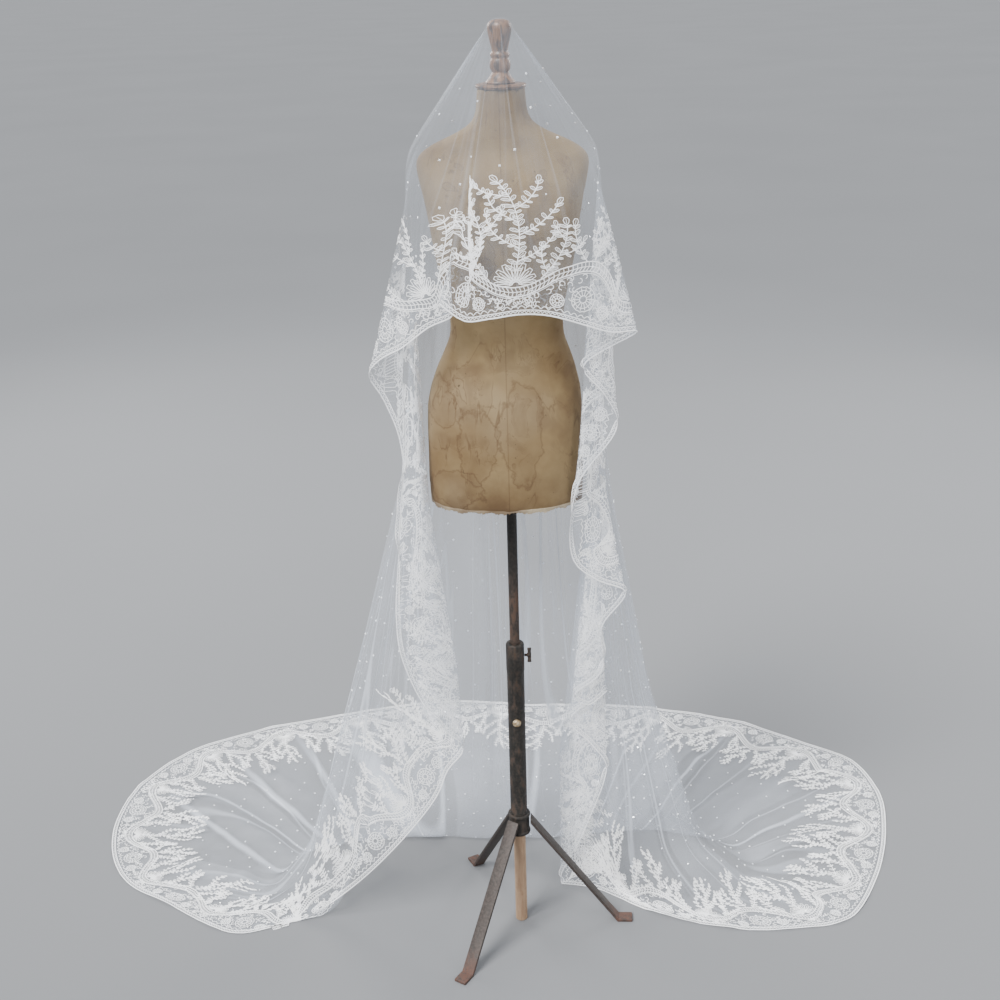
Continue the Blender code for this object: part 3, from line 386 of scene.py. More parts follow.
    def pleats(self, grid: Array) -> Array:
        """How far the pleats and gathers stand out of the smooth cloth."""
        gaps = np.linalg.norm(np.roll(grid, -1, axis=0) - grid, axis=-1)
        middle_row = np.searchsorted(self.fractions, self.pleat_row)
        middle = gaps[:, middle_row]
        self.turn_share = np.concatenate([[0.0], np.cumsum(middle)])[:-1] / middle.sum()
        a = (self.turn_share * 2 * math.pi)[:, None]
        d = self.distances
        drift = 0.10 * np.sin(3 * a + 2.2 * d) + 0.05 * np.sin(7 * a - 3.0 * d + 1.0)
        uneven = 0.75 + 0.35 * np.sin(5 * a + 1.3) * np.sin(2.1 * d + 4 * a)
        wave = 0.55 * np.sin(self.pleats_coarse * (a + 0.4 * drift) + 0.95)
        wave = wave + 0.40 * np.sin(self.pleats_fine * (a + 0.3 * drift) + 2.1)
        wave = wave + 0.16 * np.sin(self.pleats_small * (a + 0.5 * drift) + 0.4)
        crease = np.sin(self.creases * (a + drift) + 1.9)
        wave = wave + 0.35 * np.maximum(crease - 0.80, 0.0) * 5.0
        stretch = 0.5 * (gaps + np.roll(gaps, 1, axis=0)) / middle[:, None]
        depth = np.minimum(self.pleat_depth, self.pleat_slope * middle.sum() / self.pleats_fine * stretch)
        calm = [line.name.startswith(("front", "back")) or "sweep" in line.name for line in LINES]
        share = self.blend(np.where(calm, 1.0, self.cascade_share))[:, None]
        front = self.blend(np.array([line.name.startswith("front") for line in LINES], float))[:, None]
        grow = smooth_step((d - self.pleat_start) / self.pleat_growth)
        fade = smooth_step(grid[..., 2] / self.pleat_fade_height)
        folds = wave * uneven * depth * share * (1 - self.front_calm * front) * grow * fade
        gather = np.sin(61 * a + 0.7 * np.sin(4 * a)) + 0.6 * np.sin(87 * a + 1.2)
        faded = 1 - smooth_step((d - self.pleat_start) / self.gather_end)
        gather = gather * self.gather_depth * smooth_step(d / 0.04) * faded
        return folds + gather

    def ridge_height(self, points: Array) -> Array:
        """Height of the train's soft ridges and ripples over the floor."""
        x, y = points[..., 0], points[..., 1]
        height = np.zeros(x.shape)
        for ridge in RIDGES:
            start = np.array([ridge.x0, ridge.y0])
            way = np.array([ridge.x1 - ridge.x0, ridge.y1 - ridge.y0])
            part = ((points[..., :2] - start) @ way) / (way @ way)
            inside = np.clip(part, 0.0, 1.0)
            nearest = start + inside[..., None] * way
            aside = np.linalg.norm(points[..., :2] - nearest, axis=-1)
            aside = aside * (1.0 + 0.25 * ripple(x, y, 0.30, 0.4))
            rise = smooth_step(inside / self.ridge_end) * smooth_step((1.0 - inside) / self.ridge_end)
            height += ridge.height * rise * np.exp(-(aside / ridge.half_width) ** 2)
        swell = ripple(x, y, 0.13, 1.1) * 0.5 + ripple(x, y, 0.055, 2.3) * 0.25
        return height + self.swell_height * np.maximum(swell + 0.35, 0.0)

    def fold(self, smooth: Array) -> Array:
        """The smooth cloth with its pleats, and with ridges where it lies."""
        grid = smooth + self.grid_normals(smooth) * self.pleats(smooth)[..., None]
        on_floor = smooth_step((self.floor_meeting - grid[..., 2]) / self.floor_meeting)
        grid[..., 2] += self.ridge_height(grid) * on_floor
        grid[..., 2] = np.maximum(grid[..., 2], self.cloth_floor)
        return grid


@dataclass
class FlatCut:
    """The cloth's edge and border laid flat, worked out from the draped grid.

    Each column keeps its length, and the angle between two columns is the one
    that gives the edge its draped length, so that the border is drawn at its
    true size. A full turn round the finial is the angle named turn.
    """

    drape: Drape
    edge_step: float = 0.004
    smoothing: float = 0.050
    spare: int = 60
    margin: int = 45
    rim_stride: int = 3
    rim_block: int = 40

    def __post_init__(self) -> None:
        """Lays the columns out and reads the edge at even steps."""
        radius = self.drape.lengths + self.drape.crown_radius
        after = np.roll(radius, -1)
        edge = self.drape.grid[:, -1]
        chord = np.linalg.norm(np.roll(edge, -1, axis=0) - edge, axis=-1)
        cosine = (radius ** 2 + after ** 2 - chord ** 2) / (2 * radius * after)
        self.steps = np.arccos(np.clip(cosine, -1.0, 1.0 - 1e-7))
        self.angles = np.concatenate([[0.0], np.cumsum(self.steps)])
        self.turn = float(self.angles[-1])
        self.radius = radius
        count = len(radius)
        wide = np.arange(-self.spare, count + self.spare + 1)
        angles = self.angles[np.mod(wide, count)] + self.turn * np.floor(wide / count)
        points = self.polar(angles, radius[np.mod(wide, count)])
        run = np.concatenate([[0.0], np.cumsum(np.linalg.norm(np.diff(points, axis=0), axis=1))])
        run -= run[self.spare]
        self.edge_length = float(run[self.spare + count])
        pieces = int(round(self.edge_length / self.edge_step))
        self.edge_step = self.edge_length / pieces
        even = np.arange(-self.margin, pieces + self.margin + 1) * self.edge_step
        spots = np.stack([np.interp(even, run, points[:, k]) for k in range(2)], axis=-1)
        half = int(self.smoothing / self.edge_step)
        kernel = np.cos(np.linspace(-math.pi / 2, math.pi / 2, 2 * half + 1)) ** 2
        kernel /= kernel.sum()
        tangent = np.gradient(spots, axis=0)
        tangent = np.stack([np.convolve(tangent[:, k], kernel, "same") for k in range(2)], axis=-1)
        tangent = unit(tangent)[self.margin:-self.margin]
        self.edge_points = spots[self.margin:-self.margin]
        self.edge_inward = np.stack([-tangent[:, 1], tangent[:, 0]], axis=-1)
        self.edge_run = run[self.spare:self.spare + count]

    @staticmethod
    def polar(angle: Array, radius: Array) -> Array:
        """Points of the flat cut from their angles and radii."""
        return np.stack([radius * np.sin(angle), -radius * np.cos(angle)], axis=-1)

    def from_edge(self, strokes: Array) -> Array:
        """Carries points given along and in from the edge on to the flat cut.

        Args:
            strokes: Rows of distance along the edge and distance in from it.

        Returns:
            The points of the flat cut.
        """
        at = np.mod(strokes[:, 0], self.edge_length) / self.edge_step
        low = np.minimum(at.astype(int), len(self.edge_points) - 2)
        part = (at - low)[:, None]
        point = self.edge_points[low] * (1 - part) + self.edge_points[low + 1] * part
        inward = self.edge_inward[low] * (1 - part) + self.edge_inward[low + 1] * part
        return point + unit(inward) * strokes[:, 1:2]

    def on_cloth(self, flat: Array, lift: float) -> tuple[Array, Array]:
        """Carries points of the flat cut on to the draped cloth.

        Args:
            flat: Points of the flat cut.
            lift: How far they stand off the cloth.

        Returns:
            The points in space and the cloth's normals there.
        """
        drape = self.drape
        angle = np.mod(np.arctan2(flat[:, 0], -flat[:, 1]), 2 * math.pi)
        angle = np.where(angle > (self.turn + 2 * math.pi) / 2, angle - 2 * math.pi, angle)
        angle = np.mod(angle, self.turn)
        reach = np.linalg.norm(flat, axis=-1)
        column = np.clip(np.searchsorted(self.angles, angle, side="right") - 1, 0, drape.columns - 1)
        part = np.clip((angle - self.angles[column]) / self.steps[column], 0.0, 1.0)
        after = (column + 1) % drape.columns
        length = drape.lengths[column] * (1 - part) + drape.lengths[after] * part
        fraction = np.clip((reach - drape.crown_radius) / length, 0.0, 0.9999)
        row = fraction * (drape.rows - 1)
        base = row.astype(int)
        rest = (row - base)[:, None]
        part = part[:, None]

        def read(values: Array) -> Array:
            """The grid's values at each point."""
            near = values[column, base] * (1 - rest) + values[column, base + 1] * rest
            far = values[after, base] * (1 - rest) + values[after, base + 1] * rest
            return near * (1 - part) + far * part

        normal = unit(read(drape.normals))
        return read(drape.grid) + normal * lift, normal

    def on_edge(self, strokes: Array, lift: float) -> tuple[Array, Array]:
        """Carries points close to the edge on to the draped cloth, straight in from its edge.

        Args:
            strokes: Rows of distance along the edge and distance in from it.
            lift: How far they stand off the cloth.

        Returns:
            The points in space and the cloth's normals there.
        """
        drape = self.drape
        rim = drape.grid[:, -1]
        tangent = unit(np.roll(rim, -1, axis=0) - np.roll(rim, 1, axis=0))
        normal = drape.normals[:, -1]
        inward = drape.grid[:, -3] - rim
        inward = unit(inward - np.sum(inward * tangent, axis=-1, keepdims=True) * tangent)
        run = np.append(self.edge_run, self.edge_length)
        at = np.mod(strokes[:, 0], self.edge_length)
        column = np.clip(np.searchsorted(run, at, side="right") - 1, 0, drape.columns - 1)
        part = np.clip((at - run[column]) / (run[column + 1] - run[column]), 0.0, 1.0)[:, None]
        after = (column + 1) % drape.columns

        def read(values: Array) -> Array:
            """The rim's values at each point."""
            return values[column] * (1 - part) + values[after] * part

        up = unit(read(normal))
        return read(rim) + unit(read(inward)) * strokes[:, 1:2] + up * lift, up

    def grid_flat(self) -> Array:
        """The grid's own points on the flat cut."""
        reach = self.drape.distances + self.drape.crown_radius
        return self.polar(self.angles[:-1, None], reach)

    def inset(self, flat: Array) -> Array:
        """Distance of each point of the flat cut from its edge."""
        found = np.full(len(flat), np.inf)
        rim = self.edge_points[::self.rim_stride]
        for start in range(0, len(rim), self.rim_block):
            block = rim[start:start + self.rim_block]
            gap = np.linalg.norm(flat[:, None, :] - block[None, :, :], axis=-1).min(axis=1)
            found = np.minimum(found, gap)
        return found


class Part(Enum):
    """The pieces that the embroidery is built as."""

    CORDS = "veil_border_cords"
    BORDER = "veil_border_lace"
    TALL = "veil_tall_sprays"
    LOW = "veil_low_sprays"


@dataclass
class Stroke:
    """One cord of the embroidery, drawn along and in from the veil's edge."""

    points: Array
    width: float
    part: Part
    hem: bool = False


@dataclass(frozen=True)
class Spray:
    """Sizes of one leafy spray, and where its foot stands from its repeat's flower or knot."""

    length: float
    leaf: float
    branches: int
    rise: float
    aside: float = 0.0


@dataclass
class Lace:
    """The embroidery, as one generic repeat along the veil's edge.

    The repeat has hem cords with arcs, spoked rosettes, small curls, a swagged
    ribbon with a flower on it and leafy sprays that grow inwards. The hem cords
    are rows of height and width, the hem arcs of height, rise, pitch and width,
    the ribbon cords of side and width, and the rounds of place along from the
    knot, height, radius and spokes.
    """

    cut: FlatCut
    repeat: float = 0.208
    swag_height: float = 0.067
    swag_drop: float = 0.029
    ribbon_half: float = 0.0080
    leaf_step: float = 0.0100
    rounds: tuple[tuple[float, float, float, int], ...] = (
        (0.0, 0.041, 0.0215, 14), (-0.043, 0.0275, 0.0115, 9), (0.043, 0.0275, 0.0115, 9))
    hem_cords: tuple[tuple[float, float], ...] = ((0.0012, 0.0026), (0.0082, 0.0017))
    hem_arcs: tuple[tuple[float, float, float, float], ...] = (
        (0.0098, 0.0052, 0.0130, 0.0014), (0.0030, 0.0040, 0.0070, 0.0013))
    ribbon_cords: tuple[tuple[float, float], ...] = (
        (-1.0, 0.0020), (1.0, 0.0020), (0.0, 0.0013), (-1.40, 0.0010))
    rung_step: float = 0.0058
    rung_lean: float = 0.0013
    thread: float = 0.0014
    stem_width: float = 0.0017
    petals: int = 9
    curls: int = 96
    curl_start: float = 0.018
    middle_tall: Spray = Spray(0.158, 0.0136, 6, 0.030)
    middle_low: Spray = Spray(0.122, 0.0136, 5, 0.030)
    knot_tall: Spray = Spray(0.132, 0.0134, 4, 0.010)
    knot_low: Spray = Spray(0.096, 0.0134, 4, 0.010)
    side: Spray = Spray(0.096, 0.0128, 3, 0.010, 0.036)
    knot_frond: Spray = Spray(0.062, 0.0124, 0, 0.008, 0.012)
    lift: float = 0.0009
    cord_crown: float = 0.0006
    cord_floor: float = 0.0005
    longest_step: float = 0.030
    strokes: list[Stroke] = field(default_factory=list)
    part: Part = Part.BORDER

    def draw(self) -> None:
        """Draws every repeat round the veil's edge, from the middle of the front."""
        count = 2 * round(self.cut.edge_length / self.repeat / 2)
        self.repeat = self.cut.edge_length / count
        self.draw_hem()
        self.draw_ribbon(count)
        rng = np.random.default_rng(7)
        for k in range(count):
            middle = k * self.repeat
            self.part = Part.BORDER
            corner = middle + self.repeat / 2
            for aside, high, radius, spokes in self.rounds:
                self.draw_rosette(corner + aside, high, radius, spokes)
            self.draw_flower(middle)
            self.draw_filler(middle, rng)
            self.draw_sprays(middle, k % 2 == 0, rng)

    def put(self, points: Array, width: float, part: Part | None = None, hem: bool = False) -> None:
        """Keeps one cord."""
        self.strokes.append(Stroke(np.asarray(points, float), width, part or self.part, hem))

    def draw_hem(self) -> None:
        """The corded edge with two rows of small arcs."""
        steps = int(self.cut.edge_length / 0.004)
        along = np.linspace(0.0, self.cut.edge_length, steps + 1)
        for height, width in self.hem_cords:
            self.put(np.stack([along, np.full_like(along, height)], axis=-1), width, Part.CORDS, True)
        fine = np.linspace(0.0, self.cut.edge_length, 2 * steps + 1)
        for base, rise, pitch, width in self.hem_arcs:
            arcs = base + rise * np.abs(np.sin(fine / pitch * math.pi))
            self.put(np.stack([fine, arcs], axis=-1), width, hem=base < 0.005)

    def swag(self, along: Array) -> Array:
        """Height of the ribbon's middle at a distance along the edge."""
        return self.swag_height - self.swag_drop * np.cos(2 * math.pi * along / self.repeat)

    def draw_ribbon(self, count: int) -> None:
        """The swagged ribbon: two cords, a middle and an outer line, and slanted rungs."""
        steps = int(self.cut.edge_length / 0.0045)
        along = np.linspace(0.0, self.cut.edge_length, steps + 1)
        for side, width in self.ribbon_cords:
            height = self.swag(along) + side * self.ribbon_half
            part = Part.CORDS if abs(side) == 1.0 else Part.BORDER
            self.put(np.stack([along, height], axis=-1), width, part)
        for at in np.arange(0.0, count * self.repeat, self.rung_step):
            middle = float(self.swag(np.array(at)))
            for low, high, lean in ((-1.0, 0.0, self.rung_lean), (0.0, 1.0, -self.rung_lean)):
                foot = (at - lean, middle + low * self.ribbon_half)
                self.put([foot, (at + lean, middle + high * self.ribbon_half)], self.thread)

    def draw_rosette(self, x: float, y: float, radius: float, spokes: int) -> None:
        """A spoked round with two rings and a scalloped rim.

        Args:
            x: Place along the edge.
            y: Place in from the edge.
            radius: Outer radius.
            spokes: Number of spokes.
        """
        turn = np.linspace(0.0, 2 * math.pi, max(14, int(radius * 2 * math.pi / 0.0042)) + 1)
        for share, width in ((0.70, 0.0013), (0.28, 0.0015)):
            ring = np.stack([x + radius * share * np.cos(turn), y + radius * share * np.sin(turn)], axis=-1)
            self.put(ring, width)
        rim = radius * (0.93 + 0.07 * np.abs(np.sin(turn * spokes / 2)))
        self.put(np.stack([x + rim * np.cos(turn), y + rim * np.sin(turn)], axis=-1), 0.0015)
        for k in range(spokes):
            angle = 2 * math.pi * (k + 0.5) / spokes
            way = np.array([math.cos(angle), math.sin(angle)])
            self.put(np.array([x, y]) + np.outer([radius * 0.30, radius * 0.90], way), self.thread)

    def leaf(self, base: Array, angle: float, length: float, width: float, cord: float = 0.0013) -> None:
        """A looped leaf with a rib.

        Args:
            base: Where the leaf leaves its stem.
            angle: The way it points.
            length: From base to tip.
            width: Across.
            cord: Width of the cord it is drawn with.
        """
        t = np.linspace(0.0, 2 * math.pi, 8)
        reach = length * (1 - np.cos(t)) / 2
        aside = width / 2 * np.sin(t) * (1.0 - 0.25 * np.cos(t))
        way = np.array([math.cos(angle), math.sin(angle)])
        across = np.array([-way[1], way[0]])
        self.put(base + np.outer(reach, way) + np.outer(aside, across), cord)
        self.put(base + np.outer([0.15 * length, 0.80 * length], way), width * 0.16)

    def draw_flower(self, x: float) -> None:
        """A fan of petals over the low part of the ribbon."""
        foot = np.array([x, float(self.swag(np.array(x))) + self.ribbon_half + 0.005])
        half = (self.petals - 1) // 2
        for k in range(self.petals):
            angle = math.pi * (0.06 + 0.88 * k / (2 * half))
            length = 0.036 - 0.009 * abs(k - half) / half
            way = np.array([math.cos(angle), math.sin(angle)])
            self.leaf(foot + 0.004 * way, angle, length, 0.0086, self.thread)
        turn = np.linspace(0.0, math.pi, 9)
        arc = np.stack([np.cos(turn), np.sin(turn)], axis=-1) * 0.0080
        self.put(foot + arc, 0.0022)

    def frond(self, base: Array, angle: float, bend: float, length: float,
              leaf: float) -> tuple[Array, Array]:
        """A curved stem with pairs of looped leaves.

        Args:
            base: Foot of the stem.
            angle: The way it starts.
            bend: How far it turns over its length, in radians.
            length: Length of the stem.
            leaf: Length of its largest leaves.

        Returns:
            The stem's points and the way it points at each.
        """
        steps = max(5, int(length / 0.0070))
        turn = angle + bend * np.linspace(0.0, 1.0, steps + 1)
        way = np.stack([np.cos(turn), np.sin(turn)], axis=-1) * length / steps
        stem = base + np.concatenate([np.zeros((1, 2)), np.cumsum(way[:-1], axis=0)])
        self.put(stem, self.stem_width)
        pairs = max(3, int(length / self.leaf_step))
        for k in range(pairs):
            share = (k + 0.6) / pairs
            at = share * steps
            low = min(int(at), steps - 1)
            foot = stem[low] + (stem[low + 1] - stem[low]) * (at - low)
            for side in (-1.0, 1.0):
                uneven = math.sin(5.0 * k + 40.0 * length + 2.0 * side)
                size = leaf * (1.0 - 0.35 * share) * (0.86 + 0.24 * uneven)
                heading = angle + bend * share + side * (0.88 - 0.22 * share) + 0.26 * uneven
                self.leaf(foot, heading, size, size * 0.40)
        self.leaf(stem[-1], angle + bend, leaf * 0.95, leaf * 0.40)
        return stem, turn

    def tree(self, foot: float, spray: Spray, angle: float, bend: float, rng: np.random.Generator) -> None:
        """A frond whose stem puts out smaller fronds on both sides.

        Args:
            foot: Where its stem stands along the edge.
            spray: Its sizes.
            angle: The way it starts.
            bend: How far it turns over its length, in radians.
            rng: Source of small differences.
        """
        stem, turn = self.frond(self.over(foot, spray.rise), angle, bend, spray.length, spray.leaf)
        side = 1.0 if rng.random() > 0.5 else -1.0
        for k in range(spray.branches):
            share = 0.16 + 0.66 * k / max(spray.branches - 1, 1)
            at = int(share * (len(stem) - 1))
            reach = spray.length * (0.52 - 0.30 * share) * (0.85 + 0.3 * rng.random())
            heading = turn[at] + side * (0.75 + 0.25 * rng.random())
            self.frond(stem[at], heading, -side * (0.5 + 0.6 * rng.random()), reach, spray.leaf * 0.84)
            side = -side

    def over(self, along: float, rise: float) -> Array:
        """A point above the ribbon's middle, at a distance along the edge."""
        return np.array([along, float(self.swag(np.array(along))) + rise])

    def draw_sprays(self, middle: float, tall: bool, rng: np.random.Generator) -> None:
        """The leafy sprays of one repeat.

        Args:
            middle: Where the repeat's flower stands along the edge.
            tall: Whether its middle spray is a tall one.
            rng: Source of small differences between repeats.
        """
        straight = math.pi / 2
        lean = 0.35 * (rng.random() - 0.5)
        bend = 0.6 if rng.random() > 0.5 else -0.6
        knot = middle + self.repeat / 2
        self.part = Part.TALL
        spray = self.middle_tall if tall else self.middle_low
        self.tree(middle, spray, straight + lean - bend * 0.5, bend, rng)
        self.tree(knot, self.knot_low if tall else self.knot_tall, straight - lean, -bend, rng)
        self.part = Part.LOW
        frond = self.knot_frond
        for side in (-1.0, 1.0):
            self.tree(middle + side * self.side.aside, self.side, straight - side * 0.60, side * 0.85, rng)
            foot = self.over(knot + side * frond.aside, frond.rise)
            self.frond(foot, straight - side * 0.90, side * 0.8, frond.length, frond.leaf)

    def draw_filler(self, middle: float, rng: np.random.Generator) -> None:
        """Small curls scattered between the hem and the ribbon, clear of the rosettes."""
        for _ in range(self.curls):
            x = middle + (rng.random() - 0.5) * self.repeat
            high = float(self.swag(np.array(x))) - self.ribbon_half - 0.003
            y = self.curl_start + rng.random() * max(high - self.curl_start, 0.001)
            angle = rng.random() * 2 * math.pi
            off = self.repeat / 2 - abs(x - middle)
            if any(math.hypot(off - abs(aside), y - at) < radius * 1.05
                   for aside, at, radius, _ in self.rounds):
                continue
            t = np.linspace(0.0, 1.0, 6)
            turn = angle + 3.8 * t
            way = np.stack([np.cos(turn), np.sin(turn)], axis=-1) * 0.0030
            self.put(np.array([x, y]) + np.cumsum(way, axis=0), self.thread)

    def mesh(self, part: Part) -> bpy.types.Mesh:
        """Lays one part's cords on the draped cloth as flat or raised strips.

        Args:
            part: The part to build.

        Returns:
            The mesh of all those cords.
        """
        chosen = [stroke for stroke in self.strokes if stroke.part is part]
        counts = np.array([len(stroke.points) for stroke in chosen])
        spots = np.concatenate([stroke.points for stroke in chosen])
        widths = np.repeat([stroke.width for stroke in chosen], counts)
        centre, normal = self.cut.on_cloth(self.cut.from_edge(spots), self.lift)
        hem = np.repeat([stroke.hem for stroke in chosen], counts)
        centre[hem], normal[hem] = self.cut.on_edge(spots[hem], self.lift)
        first = np.concatenate([[0], np.cumsum(counts)[:-1]])
        last = np.cumsum(counts) - 1
        forward = np.empty_like(centre)
        forward[:-1] = centre[1:] - centre[:-1]
        forward[last] = centre[last] - centre[last - 1]
        back = np.roll(forward, 1, axis=0)
        back[first] = forward[first]
        side = unit(np.cross(normal, unit(unit(forward) + unit(back)))) * widths[:, None] / 2
        rows = [centre - side, centre + side]
        if part is Part.CORDS:
            rows.insert(1, centre + normal * self.cord_crown)
        lanes = len(rows)
        points = np.stack(rows, axis=1).reshape(-1, 3)
        points[:, 2] = np.maximum(points[:, 2], self.cord_floor)
        start = np.setdiff1d(np.arange(len(centre)), last)
        start = start[np.linalg.norm(centre[start + 1] - centre[start], axis=-1) <= self.longest_step]
        faces = []
        for lane in range(lanes - 1):
            low = start * lanes + lane
            faces.append(np.stack([low, low + 1, low + lanes + 1, low + lanes], axis=-1))
        return grid_mesh(part.value, points, np.concatenate(faces))


def grid_mesh(name: str, points: Array, faces: Array) -> bpy.types.Mesh:
    """A smooth mesh from arrays of points and of four-sided faces."""
    mesh = bpy.data.meshes.new(name)
    mesh.vertices.add(len(points))
    mesh.vertices.foreach_set("co", points.astype(np.float32).ravel())
    mesh.loops.add(faces.size)
    mesh.loops.foreach_set("vertex_index", faces.astype(np.int32).ravel())
    mesh.polygons.add(len(faces))
    mesh.polygons.foreach_set("loop_start", np.arange(0, faces.size, faces.shape[1], dtype=np.int32))
    mesh.update(calc_edges=True)
    mesh.validate()
    mesh.shade_smooth()
    return mesh


@dataclass
class VeilNet:
    """The veil's net as one draped sheet, closed over the finial's knob."""

    drape: Drape
    cut: FlatCut
    cap_rings: int = 6
    cap_top: float = 1.8404
    name: str = "veil_net"

    def build(self) -> bpy.types.Object:
        """Builds the sheet with its two maps and its marks for the finish."""
        drape = self.drape
        columns, rows = drape.columns, drape.rows
        points = drape.grid.reshape(-1, 3)
        rim = drape.grid[:, 0]
        rings = []
        for k in range(1, self.cap_rings):
            angle = math.pi / 2 * k / self.cap_rings
            ring = rim * math.cos(angle) ** 0.8
            ring[:, 2] = rim[:, 2] + (self.cap_top - rim[:, 2]) * math.sin(angle)
            rings.append(ring)
        cap = np.concatenate(rings)
        pole = np.array([[0.0, 0.0, self.cap_top]])
        column, row = np.meshgrid(np.arange(columns), np.arange(rows - 1), indexing="ij")
        after = (column + 1) % columns
        quads = np.stack([column * rows + row, column * rows + row + 1,
                          after * rows + row + 1, after * rows + row], axis=-1).reshape(-1, 4)
        around = np.arange(columns)
        beside = (around + 1) % columns
        first = len(points)
        outer = [around * rows] + [first + columns * k + around for k in range(self.cap_rings - 1)]
        outer_next = [beside * rows] + [first + columns * k + beside for k in range(self.cap_rings - 1)]
        caps = [np.stack([outer[k + 1], outer[k], outer_next[k], outer_next[k + 1]], axis=-1)
                for k in range(self.cap_rings - 1)]
        faces = np.concatenate([quads, *caps])
        points = np.concatenate([points, cap, pole])
        mesh = grid_mesh(self.name, points, faces)
        top = len(points) - 1
        work = bmesh.new()
        work.from_mesh(mesh)
        work.verts.ensure_lookup_table()
        for a, b in zip(outer[-1].tolist(), outer_next[-1].tolist()):
            work.faces.new((work.verts[a], work.verts[b], work.verts[top])).smooth = True
        work.to_mesh(mesh)
        work.free()
        self.mark(mesh, len(cap) + 1)
        return put_in_scene(mesh)

    def mark(self, mesh: bpy.types.Mesh, extra: int) -> None:
        """Adds the maps and the fold marks to the mesh.

        Args:
            mesh: The sheet.
            extra: Number of points of the cap, which lie outside the border.
        """
        drape = self.drape
        flat = self.cut.grid_flat().reshape(-1, 2)
        inset = self.cut.inset(flat)
        spare = np.zeros((extra, 2))
        flat = np.concatenate([flat, spare])
        inset = np.concatenate([inset, np.full(extra, 0.5)])
        turned = unit(np.roll(drape.grid, -1, axis=0) - drape.grid)
        turned = np.linalg.norm(turned - np.roll(turned, 1, axis=0), axis=-1)
        gaps = np.linalg.norm(np.roll(drape.grid, -1, axis=0) - np.roll(drape.grid, 1, axis=0), axis=-1) / 2
        crowd = np.clip(0.0035 / np.maximum(gaps, 1e-5), 0.0, 1.0)
        crease = np.clip(turned * 1.1, 0.0, 1.0)
        add_mark(mesh, "crease", np.concatenate([crease.ravel(), np.zeros(extra)]))
        add_mark(mesh, "crowd", np.concatenate([crowd.ravel(), np.ones(extra)]))
        add_mark(mesh, "inset", inset)
        angle = 2 * math.pi * drape.turn_share[:, None] * np.ones(drape.rows)
        fall = np.stack([np.cos(angle), np.sin(angle), drape.distances], axis=-1).reshape(-1, 3)
        layer = mesh.attributes.new("fall", "FLOAT_VECTOR", "POINT")
        fall = np.concatenate([fall, np.zeros((extra, 3))])
        layer.data.foreach_set("vector", fall.astype(np.float32).ravel())
        layer = mesh.uv_layers.new(name="flat")
        index = np.empty(len(mesh.loops), np.int32)
        mesh.loops.foreach_get("vertex_index", index)
        layer.data.foreach_set("uv", flat[index].astype(np.float32).ravel())


@dataclass
class Crystals:
    """Small faceted crystals sewn over the net, clear of its edge and its crown."""

    cut: FlatCut
    spacing: float = 0.066
    radius: float = 0.0026
    start: float = 0.060
    crown_clear: float = 0.06
    lift: float = 0.0007
    floor_lift: float = 0.0004
    name: str = "veil_crystals"

    def build(self) -> bpy.types.Object:
        """Builds every crystal as an eight-sided stone on the draped net."""
        rng = np.random.default_rng(21)
        reach = float(self.cut.radius.max())
        count = int(2 * reach / self.spacing)
        across, along = np.meshgrid(np.arange(count), np.arange(count), indexing="ij")
        spots = np.stack([across + 0.5 * (along % 2), along], axis=-1).reshape(-1, 2) * self.spacing - reach
        spots = spots + (rng.random(spots.shape) - 0.5) * self.spacing * 0.5
        angle = np.mod(np.arctan2(spots[:, 0], -spots[:, 1]), 2 * math.pi)
        rim = np.interp(angle, self.cut.angles, np.append(self.cut.radius, self.cut.radius[0]))
        away = np.linalg.norm(spots, axis=-1)
        keep = (angle < self.cut.turn) & (away < rim - self.start * 0.5) & (away > self.crown_clear)
        spots = spots[keep]
        spots = spots[self.cut.inset(spots) > self.start]
        centre, normal = self.cut.on_cloth(spots, self.lift)
        aside = unit(np.cross(normal, np.array([0.31, 0.17, 0.93])))
        other = np.cross(normal, aside)
        turn = rng.random(len(spots))[:, None] * math.pi
        first = aside * np.cos(turn) + other * np.sin(turn)
        second = other * np.cos(turn) - aside * np.sin(turn)
        r = self.radius * (0.8 + 0.4 * rng.random(len(spots)))[:, None]
        corners = [centre + first * r, centre + second * r, centre - first * r, centre - second * r,
                   centre + normal * r * 0.75, centre - normal * r * 0.25]
        points = np.stack(corners, axis=1).reshape(-1, 3)
        points[:, 2] = np.maximum(points[:, 2], self.floor_lift)
        upper = [(k, (k + 1) % 4, 4) for k in range(4)]
        lower = [((k + 1) % 4, k, 5) for k in range(4)]
        pattern = np.array(upper + lower)
        faces = (np.arange(len(spots))[:, None, None] * 6 + pattern).reshape(-1, 3)
        mesh = grid_mesh(self.name, points, faces)
        mesh.polygons.foreach_set("use_smooth", np.zeros(len(mesh.polygons), bool))
        mesh.update()
        return put_in_scene(mesh)


def add_mark(mesh: bpy.types.Mesh, name: str, values: Array) -> None:
    """Adds a named value for each point of a mesh."""
    layer = mesh.attributes.new(name, "FLOAT", "POINT")
    layer.data.foreach_set("value", np.asarray(values, np.float32).ravel())


def put_in_scene(data: bpy.types.Mesh) -> bpy.types.Object:
    """A new object of the data's own name, linked to the scene."""
    made = bpy.data.objects.new(data.name, data)
    bpy.context.scene.collection.objects.link(made)
    return made


def deselect() -> None:
    """Leaves nothing selected and nothing active."""
    bpy.ops.object.select_all(action="DESELECT")
    bpy.context.view_layer.objects.active = None


